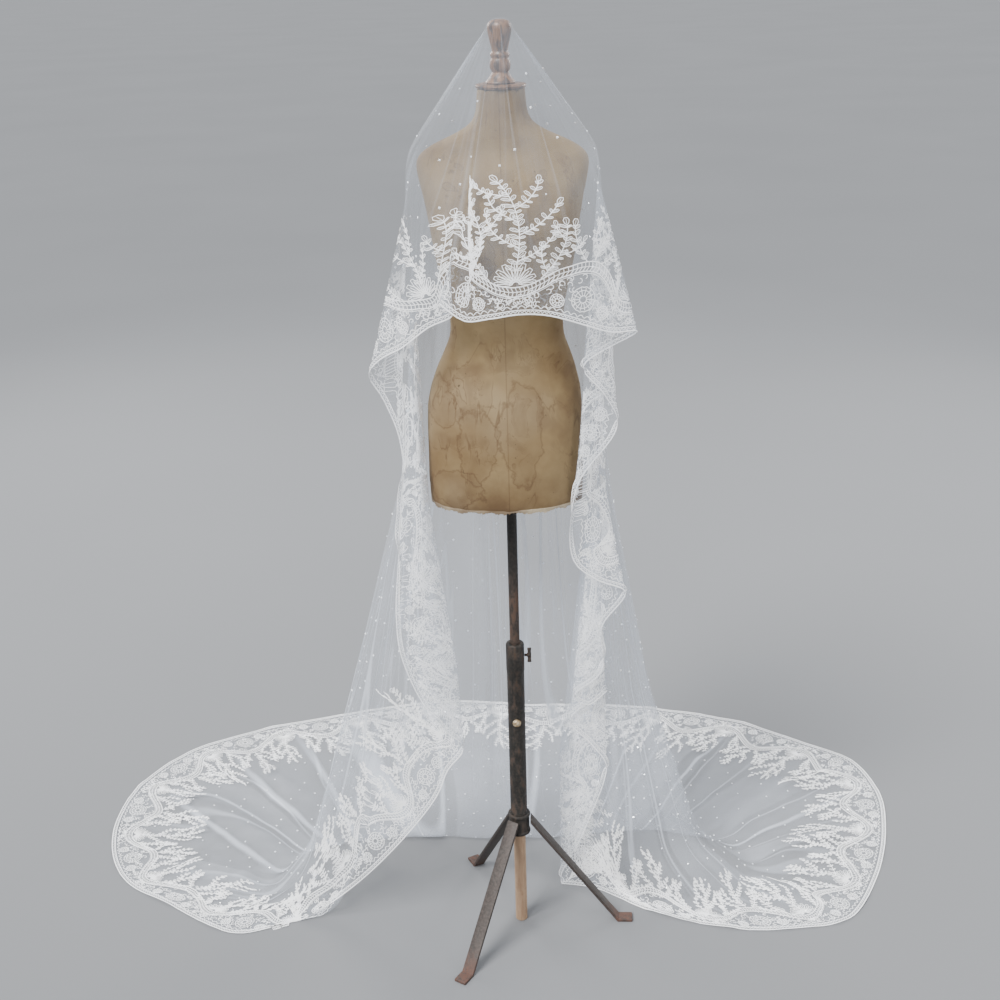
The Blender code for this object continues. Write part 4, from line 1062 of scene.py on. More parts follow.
def finish_shape(made: bpy.types.Object, name: str, angle: float = 35.0) -> bpy.types.Object:
    """Names a modelled piece, puts its place into its mesh and smooths it.

    Args:
        made: The piece, active and in object mode.
        name: Its name.
        angle: Edges sharper than this stay sharp, in degrees.

    Returns:
        The piece.
    """
    bpy.ops.object.transform_apply(location=True, rotation=True, scale=True)
    bpy.ops.object.shade_smooth_by_angle(angle=math.radians(angle))
    made.name = name
    made.data.name = name
    return made


def turned(name: str, profile: tuple[tuple[float, float], ...], sides: int = 64,
           place: Spot = (0.0, 0.0, 0.0), tilt: Spot = (0.0, 0.0, 0.0),
           angle: float = 35.0) -> bpy.types.Object:
    """A lathe-turned piece, drawn up from a disc ring by ring.

    Args:
        name: Name of the piece.
        profile: Radius and height of each ring, from one end to the other.
        sides: Number of sides round it.
        place: Where its axis starts.
        tilt: Turn of its axis, in radians about X, Y and Z.
        angle: Edges sharper than this stay sharp, in degrees.

    Returns:
        The piece, closed at both ends.
    """
    deselect()
    radius, height = profile[0]
    bpy.ops.mesh.primitive_circle_add(vertices=sides, radius=radius, fill_type="NGON",
                                      location=(0.0, 0.0, height))
    made = bpy.context.object
    bpy.ops.object.transform_apply(location=True)
    bpy.ops.object.mode_set(mode="EDIT")
    bpy.ops.mesh.select_all(action="SELECT")
    for after, level in profile[1:]:
        bpy.ops.mesh.extrude_region_move(TRANSFORM_OT_translate={"value": (0.0, 0.0, level - height)})
        ratio = after / radius
        bpy.ops.transform.resize(value=(ratio, ratio, 1.0), center_override=(0.0, 0.0, level))
        radius, height = after, level
    bpy.ops.mesh.select_all(action="SELECT")
    bpy.ops.mesh.normals_make_consistent(inside=False)
    bpy.ops.object.mode_set(mode="OBJECT")
    made.rotation_euler = tilt
    made.location = place
    return finish_shape(made, name, angle)


@dataclass
class Form:
    """The limbless canvas form under the veil."""

    base_z: float = 0.988
    base_middle_x: float = -0.0077
    base_half_width: float = 0.1440
    base_front: float = 0.0930
    base_back: float = 0.1075
    base_squareness: float = 2.25
    dent: float = 0.0007
    fray: float = 0.0042
    threads: int = 420
    name: str = "canvas_form"

    def build(self) -> list[bpy.types.Object]:
        """Builds the padded canvas body and its frayed base edge."""
        node = bpy.data.objects["form_torso"]
        deselect()
        body = node.copy()
        body.data = node.data.copy()
        bpy.context.scene.collection.objects.link(body)
        body.parent = None
        body.matrix_world = Matrix.Identity(4)
        body.hide_render = False
        body.select_set(True)
        bpy.context.view_layer.objects.active = body
        bpy.ops.object.mode_set(mode="EDIT")
        bpy.ops.mesh.select_all(action="SELECT")
        bpy.ops.mesh.remove_doubles(threshold=0.00005)
        bpy.ops.mesh.tris_convert_to_quads(face_threshold=math.radians(60), shape_threshold=math.radians(60))
        bpy.ops.mesh.normals_make_consistent(inside=False)
        bpy.ops.object.mode_set(mode="OBJECT")
        sharp = body.data.attributes.new("crease_edge", "FLOAT", "EDGE")
        heights = [vertex.co.z for vertex in body.data.vertices]
        for edge in body.data.edges:
            if max(heights[k] for k in edge.vertices) < self.base_z + 0.001:
                sharp.data[edge.index].value = 1.0
        smooth = body.modifiers.new("round", "SUBSURF")
        smooth.levels = smooth.render_levels = 2
        bpy.ops.object.modifier_apply(modifier=smooth.name)
        spots = np.empty(len(body.data.vertices) * 3, np.float32)
        body.data.vertices.foreach_get("co", spots)
        spots = spots.reshape(-1, 3).astype(float)
        turn = np.arctan2(spots[:, 1], spots[:, 0])
        around = turn * 0.14
        push = ripple(around, spots[:, 2], 0.11, 0.7) + 0.5 * ripple(around, spots[:, 2], 0.035, 2.9)
        inward = (push - 1.2) * self.dent
        spots[:, 0] += np.cos(turn) * inward
        spots[:, 1] += np.sin(turn) * inward
        body.data.vertices.foreach_set("co", spots.astype(np.float32).ravel())
        body.data.update()
        return [finish_shape(body, self.name, 50.0), self.frayed_edge()]

    def frayed_edge(self) -> bpy.types.Object:
        """A ragged strip of canvas that hangs below the body's base edge."""
        count = self.threads
        turn = np.linspace(0.0, 2 * math.pi, count, endpoint=False)
        power = 2.0 / self.base_squareness

        def outline(offset: float) -> Array:
            """The base's outline, moved out by an offset."""
            across = np.sign(np.cos(turn)) * np.abs(np.cos(turn)) ** power * (self.base_half_width + offset)
            depth = np.where(np.sin(turn) < 0, self.base_front, self.base_back) + offset
            y = np.sign(np.sin(turn)) * np.abs(np.sin(turn)) ** power * depth
            return np.stack([self.base_middle_x + across, y], axis=-1)

        rng = np.random.default_rng(5)
        teeth = 0.30 + 0.45 * np.sin(9 * turn) * np.sin(4 * turn) + 0.30 * np.sin(23 * turn + 1.0)
        teeth = self.fray * (teeth + 0.80 * rng.random(count))
        rows = []
        for offset, height in ((-0.0026, 0.9945), (-0.0012, 0.9915), (-0.0008, 0.9885)):
            ring = outline(offset)
            rows.append(np.concatenate([ring, np.full((count, 1), height)], axis=-1))
        ragged = np.concatenate([outline(-0.0012), (self.base_z - np.maximum(teeth, 0.0))[:, None]], axis=-1)
        rows.append(ragged)
        points = np.stack(rows, axis=1).reshape(-1, 3)
        lanes = len(rows)
        around = np.arange(count)
        after = (around + 1) % count
        faces = np.concatenate([np.stack([around * lanes + k, around * lanes + k + 1,
                                          after * lanes + k + 1, after * lanes + k], axis=-1)
                                for k in range(lanes - 1)])
        return put_in_scene(grid_mesh("canvas_frayed_edge", points, faces))


@dataclass
class Finial:
    """The turned cap of the neck: a disc with the finial on it."""

    base_z: float = 1.729
    top_z: float = 1.8388
    disc_radius: float = 0.0435
    gap: float = 0.0003

    def build(self) -> list[bpy.types.Object]:
        """Turns the disc and the knob."""
        return [self.disc(), self.knob()]

    def disc(self) -> bpy.types.Object:
        """The neck disc, with a lower bead and a rounded rim."""
        r = self.disc_radius
        rings = (
            (0.0200, self.gap), (r - 0.0030, self.gap), (r - 0.0012, 0.0007), (r - 0.0010, 0.0016),
            (r - 0.0016, 0.0021), (r - 0.0006, 0.0027), (r, 0.0038), (r - 0.0004, 0.0052),
            (r - 0.0018, 0.0064), (r - 0.0050, 0.0070), (0.0250, 0.0070), (0.0040, 0.0070),
        )
        profile = tuple((radius, self.base_z + rise) for radius, rise in rings)
        return turned("neck_cap_disc", profile, 96, angle=30.0)

    def knob(self) -> bpy.types.Object:
        """The finial: a flared collar, a bulb, a ring and the knob."""
        foot = self.base_z + 0.0070 + self.gap
        collar = (
            (0.0060, 0.0), (0.0245, 0.0), (0.0256, 0.0006), (0.0260, 0.0018), (0.0252, 0.0032),
            (0.0232, 0.0052), (0.0212, 0.0078), (0.0190, 0.0100), (0.0184, 0.0112),
        )
        above = (
            (0.0150, 0.0862), (0.0140, 0.0848), (0.0143, 0.0836), (0.0158, 0.0815), (0.0170, 0.0788),
            (0.0177, 0.0745), (0.0176, 0.0700), (0.0168, 0.0660), (0.0155, 0.0632), (0.0148, 0.0620),
            (0.0150, 0.0606), (0.0160, 0.0588), (0.0166, 0.0566), (0.0160, 0.0545), (0.0148, 0.0526),
            (0.0137, 0.0510), (0.0136, 0.0490), (0.0144, 0.0450), (0.0156, 0.0400), (0.0176, 0.0320),
            (0.0193, 0.0240), (0.0203, 0.0180), (0.0206, 0.0130), (0.0200, 0.0090), (0.0184, 0.0058),
            (0.0156, 0.0032), (0.0120, 0.0014), (0.0070, 0.0003), (0.0020, 0.0),
        )
        profile = [(radius, foot + rise) for radius, rise in collar]
        profile += [(radius, self.top_z - drop) for radius, drop in above]
        return turned("turned_finial", tuple(profile), 72, angle=42.0)


@dataclass
class Stand:
    """The iron tripod stand with its sliding pole, clamp and dowel."""

    gap: float = 0.0003
    form_base_z: float = 0.988
    pole_radius: float = 0.0097
    sleeve_radius: float = 0.0182
    sleeve_bore: float = 0.0103
    sleeve_top: float = 0.670
    hub_radius: float = 0.0235
    hub_top: float = 0.272
    hub_base: float = 0.224
    dowel_radius: float = 0.0125
    tripod_radius: float = 0.2385
    foot_length: float = 0.030
    leg_width: float = 0.026
    leg_thickness: float = 0.006
    leg_top: float = 0.256
    screw_z: float = 0.642
    boss_z: float = 0.497

    def build(self) -> dict[str, bpy.types.Object]:
        """Builds every piece of the stand, under the node that it stands for."""
        made = {
            "pole": self.pole(), "sleeve": self.sleeve(), "hub": self.hub(), "dowel": self.dowel(),
            "thumb_screw": self.thumb_screw(), "boss": self.boss(),
        }
        for node, azimuth in (("leg_right", -3.3), ("leg_rear", 116.7), ("leg_front", 236.7)):
            made[node] = self.leg(node, azimuth)
        return made

    def pole(self) -> bpy.types.Object:
        """The round pole that slides in the sleeve."""
        r, low, high = self.pole_radius, self.hub_top + 0.030, self.form_base_z - self.gap
        profile = [(r * 0.9, low), (r, low + 0.001)]
        profile += [(r, low + (high - low) * k / 12) for k in range(1, 12)]
        profile += [(r, high - 0.001), (r * 0.97, high)]
        return turned("sliding_pole", tuple(profile), 40)

    def sleeve(self) -> bpy.types.Object:
        """The tube, with a foot ring, a thicker head and a rounded lip."""
        r, bore, top, low = self.sleeve_radius, self.sleeve_bore, self.sleeve_top, self.hub_top + self.gap
        profile = (
            (bore, low), (r, low), (r, low + 0.002), (r - 0.0008, low + 0.004), (r - 0.0008, low + 0.060),
            (r - 0.0008, (low + top) / 2), (r - 0.0008, top - 0.062), (r, top - 0.060), (r, top - 0.004),
            (r - 0.0004, top - 0.0015), (r - 0.0016, top), (bore + 0.0006, top), (bore, top - 0.001),
            (bore, low + 0.001),
        )
        made = turned("tube_sleeve", profile, 56)
        deselect()
        made.select_set(True)
        bpy.context.view_layer.objects.active = made
        work = bmesh.new()
        work.from_mesh(made.data)
        caps = [face for face in work.faces if len(face.verts) > 8]
        bmesh.ops.delete(work, geom=caps, context="FACES_ONLY")
        bmesh.ops.remove_doubles(work, verts=work.verts, dist=0.0002)
        rims = [edge for edge in work.edges if edge.is_boundary]
        if rims:
            bmesh.ops.bridge_loops(work, edges=rims)
        bmesh.ops.recalc_face_normals(work, faces=work.faces)
        work.to_mesh(made.data)
        work.free()
        return finish_shape(made, "tube_sleeve")

    def hub(self) -> bpy.types.Object:
        """The cast hub with a bead round its top and base."""
        r, low, top = self.hub_radius, self.hub_base, self.hub_top
        profile = (
            (0.0130, low), (r - 0.0030, low), (r - 0.0006, low + 0.0012), (r, low + 0.0030),
            (r - 0.0005, low + 0.0060), (r - 0.0022, low + 0.0080), (r - 0.0024, low + 0.0120),
            (r - 0.0024, top - 0.0110), (r - 0.0020, top - 0.0080), (r - 0.0004, top - 0.0060),
            (r, top - 0.0034), (r - 0.0010, top - 0.0010), (r - 0.0030, top), (0.0186, top), (0.0080, top),
        )
        return turned("cast_hub", profile, 64)

    def dowel(self) -> bpy.types.Object:
        """The bare wooden rod under the hub."""
        r, high = self.dowel_radius, self.hub_base - self.gap
        profile = [(r * 0.60, 0.0), (r - 0.0010, 0.0), (r, 0.0010)]
        profile += [(r, high * k / 8) for k in range(1, 8)]
        profile += [(r, high - 0.0005), (r * 0.6, high)]
        return turned("bare_dowel", tuple(profile), 48)

    def thumb_screw(self) -> bpy.types.Object:
        """The clamp screw: a threaded shank, a collar and a winged head."""
        start = self.sleeve_radius + self.gap
        profile = [(0.0029, 0.0), (0.0029, 0.0006)]
        for k in range(5):
            level = 0.0010 + 0.0009 * k
            profile += [(0.0024, level), (0.0030, level + 0.00045)]
        profile += [(0.0040, 0.0058), (0.0043, 0.0066), (0.0040, 0.0074), (0.0030, 0.0082), (0.0031, 0.0090),
                    (0.0040, 0.0100), (0.0038, 0.0112), (0.0020, 0.0118)]
        shank = turned("clamp_screw", tuple(profile), 32, (start, 0.0, self.screw_z), (0.0, math.pi / 2, 0.0))
        deselect()
        middle = start + 0.0098
        bpy.ops.mesh.primitive_cube_add(size=1.0, location=(middle, 0.0, self.screw_z),
                                        scale=(0.0074, 0.0030, 0.0080))
        wing = bpy.context.object
        bpy.ops.object.transform_apply(location=True, scale=True)
        for side in (1.0, -1.0):
            rim = 0.0040
            for rise, wide in ((0.0040, 0.86), (0.0038, 1.18), (0.0030, 1.10), (0.0014, 0.60)):
                self.pick(wing, lambda p: (p.z - self.screw_z) * side > rim - 0.0004)
                bpy.ops.object.mode_set(mode="EDIT")
                bpy.ops.mesh.select_mode(type="FACE")
                bpy.ops.mesh.extrude_region_move(TRANSFORM_OT_translate={"value": (0.0, 0.0, rise * side)})
                rim += rise
                bpy.ops.transform.resize(value=(wide, wide, 1.0),
                                         center_override=(middle, 0.0, self.screw_z + rim * side))
                bpy.ops.object.mode_set(mode="OBJECT")
        bpy.ops.object.mode_set(mode="EDIT")
        bpy.ops.mesh.select_all(action="SELECT")
        bpy.ops.mesh.normals_make_consistent(inside=False)
        bpy.ops.mesh.bevel(offset=0.0005, segments=2, affect="EDGES")
        bpy.ops.object.mode_set(mode="OBJECT")
        shank.select_set(True)
        bpy.context.view_layer.objects.active = shank
        bpy.ops.object.join()
        return finish_shape(shank, "clamp_screw")

    def boss(self) -> bpy.types.Object:
        """The round button on the sleeve, with two raised rings."""
        profile = (
            (0.0060, 0.0), (0.0083, 0.0), (0.0085, 0.0006), (0.0084, 0.0014), (0.0078, 0.0022),
            (0.0070, 0.0024), (0.0066, 0.0020), (0.0062, 0.0024), (0.0055, 0.0034), (0.0047, 0.0040),
            (0.0041, 0.0037), (0.0036, 0.0041), (0.0026, 0.0048), (0.0012, 0.0050),
        )
        return turned("round_boss", profile, 48, (0.0, -self.sleeve_radius - self.gap, self.boss_z),
                      (math.pi / 2, 0.0, 0.0))

    def leg(self, node: str, azimuth: float) -> bpy.types.Object:
        """One flat iron bar, bent at its foot.

        Args:
            node: Name of the CAD node that it stands for.
            azimuth: The way it points, in degrees.

        Returns:
            The leg, with eased edges.
        """
        half = self.leg_thickness / 2
        bend, hub = self.tripod_radius - self.foot_length, self.hub_radius + self.gap
        slope = math.atan2(self.leg_top - half, bend - hub)
        plumb = half / math.cos(slope)
        mitre = half * math.tan(slope / 2)
        deselect()
        bpy.ops.mesh.primitive_cube_add(size=1.0, location=(bend + self.foot_length / 2, 0.0, half),
                                        scale=(self.foot_length, self.leg_width, self.leg_thickness))
        bar = bpy.context.object
        bpy.ops.object.transform_apply(location=True, scale=True)
        self.shift(bar, lambda p: p.x < bend + 0.001 and p.z > half, (mitre, 0.0, 0.0))
        self.shift(bar, lambda p: p.x < bend + 0.001 and p.z < half, (-mitre, 0.0, 0.0))
        self.pick(bar, lambda p: p.x < bend + mitre + 0.001)
        bpy.ops.object.mode_set(mode="EDIT")
        rise = self.leg_top - half
        bpy.ops.mesh.extrude_region_move(TRANSFORM_OT_translate={"value": (hub - bend, 0.0, rise)})
        bpy.ops.object.mode_set(mode="OBJECT")
        middle = self.leg_top
        self.shift(bar, lambda p: p.x < hub + 0.01 and p.z > middle, (-mitre, 0.0, plumb - half))
        self.shift(bar, lambda p: p.x < hub + 0.01 and p.z < middle, (mitre, 0.0, half - plumb))
        bpy.ops.object.mode_set(mode="EDIT")
        bpy.ops.mesh.select_all(action="SELECT")
        bpy.ops.mesh.normals_make_consistent(inside=False)
        bpy.ops.mesh.bevel(offset=0.0009, segments=3, affect="EDGES")
        bpy.ops.mesh.subdivide(number_cuts=1)
        bpy.ops.object.mode_set(mode="OBJECT")
        bar.rotation_euler = (0.0, 0.0, math.radians(azimuth))
        return finish_shape(bar, node.replace("leg_", "iron_leg_"))

    @staticmethod
    def pick(bar: bpy.types.Object, test: Callable[[Vector], bool]) -> None:
        """Selects the points that a test on their place is true for."""
        bpy.ops.object.mode_set(mode="EDIT")
        bpy.ops.mesh.select_mode(type="VERT")
        bpy.ops.mesh.select_all(action="DESELECT")
        bpy.ops.object.mode_set(mode="OBJECT")
        for vertex in bar.data.vertices:
            vertex.select = test(vertex.co)

    def shift(self, bar: bpy.types.Object, test: Callable[[Vector], bool], way: Spot) -> None:
        """Moves the points that a test on their place is true for."""
        self.pick(bar, test)
        bpy.ops.object.mode_set(mode="EDIT")
        bpy.ops.transform.translate(value=way)
        bpy.ops.object.mode_set(mode="OBJECT")


@dataclass
class Graph:
    """The nodes of one material or node group, added and joined by name."""

    tree: bpy.types.NodeTree

    def add(self, kind: str, inputs: dict | None = None, **settings: object) -> bpy.types.Node:
        """Adds a node.

        Args:
            kind: The node's type.
            inputs: Values or other nodes' outputs for its sockets.
            settings: The node's own settings.

        Returns:
            The node.
        """
        node = self.tree.nodes.new(kind)
        for name, value in settings.items():
            setattr(node, name, value)
        for name, value in (inputs or {}).items():
            socket = node.inputs[name]
            if isinstance(value, bpy.types.NodeSocket):
                self.tree.links.new(value, socket)
            else:
                socket.default_value = value
        return node

    def math(self, operation: str, a: object, b: object = 0.0, clamp: bool = False) -> bpy.types.NodeSocket:
        """Joins two values by a sum, a product or the like."""
        return self.add("ShaderNodeMath", {0: a, 1: b}, operation=operation, use_clamp=clamp).outputs[0]

    def ramp(self, value: object, low: float, high: float, start: float = 0.0,
             end: float = 1.0) -> bpy.types.NodeSocket:
        """Takes a value from low..high to start..end, and stops there."""
        return self.add("ShaderNodeMapRange", {"Value": value, "From Min": low, "From Max": high,
                                               "To Min": start, "To Max": end}).outputs[0]

    def mix(self, share: object, a: object, b: object) -> bpy.types.NodeSocket:
        """Mixes two colours."""
        node = self.add("ShaderNodeMix", data_type="RGBA")
        for index, value in ((0, share), (6, a), (7, b)):
            if isinstance(value, bpy.types.NodeSocket):
                self.tree.links.new(value, node.inputs[index])
            else:
                node.inputs[index].default_value = value
        return node.outputs[2]

    def noise(self, place: bpy.types.NodeSocket, scale: float, detail: float = 4.0,
              roughness: float = 0.5, distortion: float = 0.0) -> bpy.types.NodeSocket:
        """A noise value over a place."""
        return self.add("ShaderNodeTexNoise", {"Vector": place, "Scale": scale, "Detail": detail,
                                               "Roughness": roughness, "Distortion": distortion}).outputs[0]

    def place(self) -> bpy.types.NodeSocket:
        """The piece's own coordinates, in metres."""
        return self.add("ShaderNodeTexCoord").outputs["Object"]

    def stretch(self, place: bpy.types.NodeSocket, scale: Spot) -> bpy.types.NodeSocket:
        """A place with its axes stretched."""
        return self.add("ShaderNodeMapping", {"Vector": place, "Scale": scale}).outputs[0]

    def mark(self, name: str) -> bpy.types.NodeSocket:
        """A value kept on the mesh under a name."""
        return self.add("ShaderNodeAttribute", attribute_name=name).outputs["Fac"]

    def bump(self, height: bpy.types.NodeSocket, strength: float, distance: float,
             normal: bpy.types.NodeSocket | None = None) -> bpy.types.NodeSocket:
        """A normal from a height."""
        inputs = {"Height": height, "Strength": strength, "Distance": distance}
        if normal is not None:
            inputs["Normal"] = normal
        return self.add("ShaderNodeBump", inputs).outputs[0]


def new_material(name: str) -> tuple[bpy.types.Material, Graph, bpy.types.Node]:
    """A new material with its graph and its surface shader."""
    made = bpy.data.materials.new(name)
    made.use_nodes = True
    shader = next(node for node in made.node_tree.nodes if node.type == "BSDF_PRINCIPLED")
    return made, Graph(made.node_tree), shader


def patches_group() -> bpy.types.NodeTree:
    """A shared effect: soft-edged patches with broken rims, as rust and stains have."""
    name = "patches"
    if name in bpy.data.node_groups:
        return bpy.data.node_groups[name]
    tree = bpy.data.node_groups.new(name, "ShaderNodeTree")
    tree.interface.new_socket("Vector", in_out="INPUT", socket_type="NodeSocketVector")
    for label, value in (("Scale", 20.0), ("Cover", 0.5), ("Softness", 0.08)):
        tree.interface.new_socket(label, in_out="INPUT", socket_type="NodeSocketFloat").default_value = value
    tree.interface.new_socket("Mask", in_out="OUTPUT", socket_type="NodeSocketFloat")
    graph = Graph(tree)
    source = tree.nodes.new("NodeGroupInput").outputs
    body = graph.add("ShaderNodeTexNoise", {"Vector": source["Vector"], "Scale": source["Scale"],
                                            "Detail": 6.0, "Roughness": 0.62}).outputs[0]
    edge = graph.math("SUBTRACT", 1.0, source["Cover"])
    low = graph.math("SUBTRACT", edge, source["Softness"])
    high = graph.math("ADD", edge, source["Softness"])
    mask = graph.add("ShaderNodeMapRange", {"Value": body, "From Min": low, "From Max": high}).outputs[0]
    out = tree.nodes.new("NodeGroupOutput")
    tree.links.new(mask, out.inputs["Mask"])
    return tree


def patches(graph: Graph, place: bpy.types.NodeSocket, scale: float, cover: float,
            softness: float = 0.05) -> bpy.types.NodeSocket:
    """Puts the shared patches effect in a material.

    Args:
        graph: The material's graph.
        place: Where the patches are read.
        scale: Patches in a metre, about.
        cover: Share of the noise range that they cover.
        softness: Width of their rims.

    Returns:
        The mask of the patches.
    """
    node = graph.add("ShaderNodeGroup", node_tree=patches_group())
    graph.tree.links.new(place, node.inputs["Vector"])
    node.inputs["Scale"].default_value = scale
    node.inputs["Cover"].default_value = cover
    node.inputs["Softness"].default_value = softness
    return node.outputs["Mask"]


Tint = tuple[float, float, float, float]


@dataclass(frozen=True)
class NetFinish:
    """Fine white net: a see-through mesh, denser in its folds, its crown and its border."""

    tint: Tint = (0.64, 0.68, 0.75, 1.0)
    high_tint: Tint = (0.50, 0.54, 0.60, 1.0)
    cover: float = 0.085
    crease_cover: float = 0.22
    crowd_cover: float = 0.02
    line_cover: float = 0.44
    band_cover: float = 0.13
    border: float = 0.105

    def make(self) -> bpy.types.Material:
        """Builds the material."""
        made, graph, shader = new_material("fine_net")
        flat = graph.add("ShaderNodeUVMap", uv_map="flat").outputs[0]
        fall = graph.add("ShaderNodeAttribute", attribute_name="fall").outputs["Vector"]
        depth = graph.add("ShaderNodeSeparateXYZ", {"Vector": fall}).outputs[2]
        inset = graph.mark("inset")
        grown = graph.math("MULTIPLY", graph.ramp(depth, 0.45, 1.00, 0.22, 1.0),
                           graph.ramp(inset, 0.05, 0.28, 0.30, 1.0))
        cloudy = graph.ramp(graph.noise(flat, 9.0, 3.0), 0.35, 0.65, -0.02, 0.03)
        cover = graph.math("ADD", self.cover, cloudy)
        creased = graph.math("MULTIPLY", graph.mark("crease"), graph.ramp(depth, 0.05, 0.55, 0.25, 1.0))
        cover = graph.math("ADD", cover, graph.math("MULTIPLY", creased, self.crease_cover))
        cover = graph.math("ADD", cover, graph.math("MULTIPLY", graph.mark("crowd"), self.crowd_cover))
        for scale, share in (((5.2, 5.2, 0.50), 1.0), ((9.5, 9.5, 0.80), 0.55)):
            run = graph.noise(graph.stretch(fall, scale), 1.0, 1.0, 0.4, 0.15)
            line = graph.math("ABSOLUTE", graph.math("SUBTRACT", run, 0.5))
            line = graph.ramp(line, 0.004, 0.016, self.line_cover * share, 0.0)
            band = graph.ramp(run, 0.555, 0.566, 0.0, self.band_cover * share)
            soft = graph.ramp(run, 0.36, 0.50, self.band_cover * 0.6 * share, 0.0)
            folds = graph.math("ADD", line, graph.math("ADD", band, soft))
            cover = graph.math("ADD", cover, graph.math("MULTIPLY", folds, grown))
        curl = graph.noise(flat, 78.0, 1.5, 0.4, 0.8)
        thread = graph.math("ABSOLUTE", graph.math("SUBTRACT", curl, 0.5))
        thread = graph.ramp(thread, 0.014, 0.028, 0.36, 0.0)
        band = graph.ramp(inset, self.border - 0.040, self.border, 1.0, 0.0)
        cover = graph.math("MAXIMUM", cover, graph.math("MULTIPLY", thread, band), True)
        links = made.node_tree.links
        links.new(cover, shader.inputs["Alpha"])
        shader.inputs["Roughness"].default_value = 0.55
        cells = graph.add("ShaderNodeTexVoronoi", {"Vector": flat, "Scale": 700.0}).outputs[0]
        links.new(graph.bump(cells, 0.25, 0.0004), shader.inputs["Normal"])
        tone = graph.math("MULTIPLY", graph.ramp(graph.noise(flat, 30.0, 2.0), 0.3, 0.7, 0.8, 1.0),
                          graph.ramp(depth, 0.25, 0.90))
        links.new(graph.mix(tone, self.high_tint, self.tint), shader.inputs["Base Color"])
        return made


@dataclass(frozen=True)
class CordFinish:
    """White embroidery cord with a fine, uneven thread surface."""

    name: str = "embroidery_cord"
    tint: Tint = (0.93, 0.93, 0.92, 1.0)

    def make(self) -> bpy.types.Material:
        """Builds the material."""
        made, graph, shader = new_material(self.name)
        place = graph.place()
        tone = graph.ramp(graph.noise(place, 60.0, 3.0), 0.35, 0.7)
        tint = graph.mix(tone, self.tint, (0.98, 0.98, 1.0, 1.0))
        links = made.node_tree.links
        links.new(tint, shader.inputs["Base Color"])
        links.new(graph.ramp(graph.noise(place, 900.0, 2.0), 0.3, 0.7, 0.55, 0.8), shader.inputs["Roughness"])
        links.new(graph.bump(graph.noise(place, 1400.0, 2.0), 0.35, 0.0003), shader.inputs["Normal"])
        shader.inputs["Sheen Weight"].default_value = 0.25
        return made


@dataclass(frozen=True)
class CrystalFinish:
    """Pale, slightly blue cut crystal with a bright coat."""

    def make(self) -> bpy.types.Material:
        """Builds the material."""
        made, graph, shader = new_material("cut_crystal")
        tone = graph.ramp(graph.noise(graph.place(), 35.0, 2.0), 0.35, 0.65)
        made.node_tree.links.new(graph.mix(tone, (0.86, 0.93, 1.0, 1.0), (1.0, 1.0, 1.0, 1.0)),
                                 shader.inputs["Base Color"])
        made.node_tree.links.new(graph.ramp(tone, 0.0, 1.0, 0.03, 0.12), shader.inputs["Roughness"])
        shader.inputs["IOR"].default_value = 1.9
        shader.inputs["Coat Weight"].default_value = 1.0
        return made


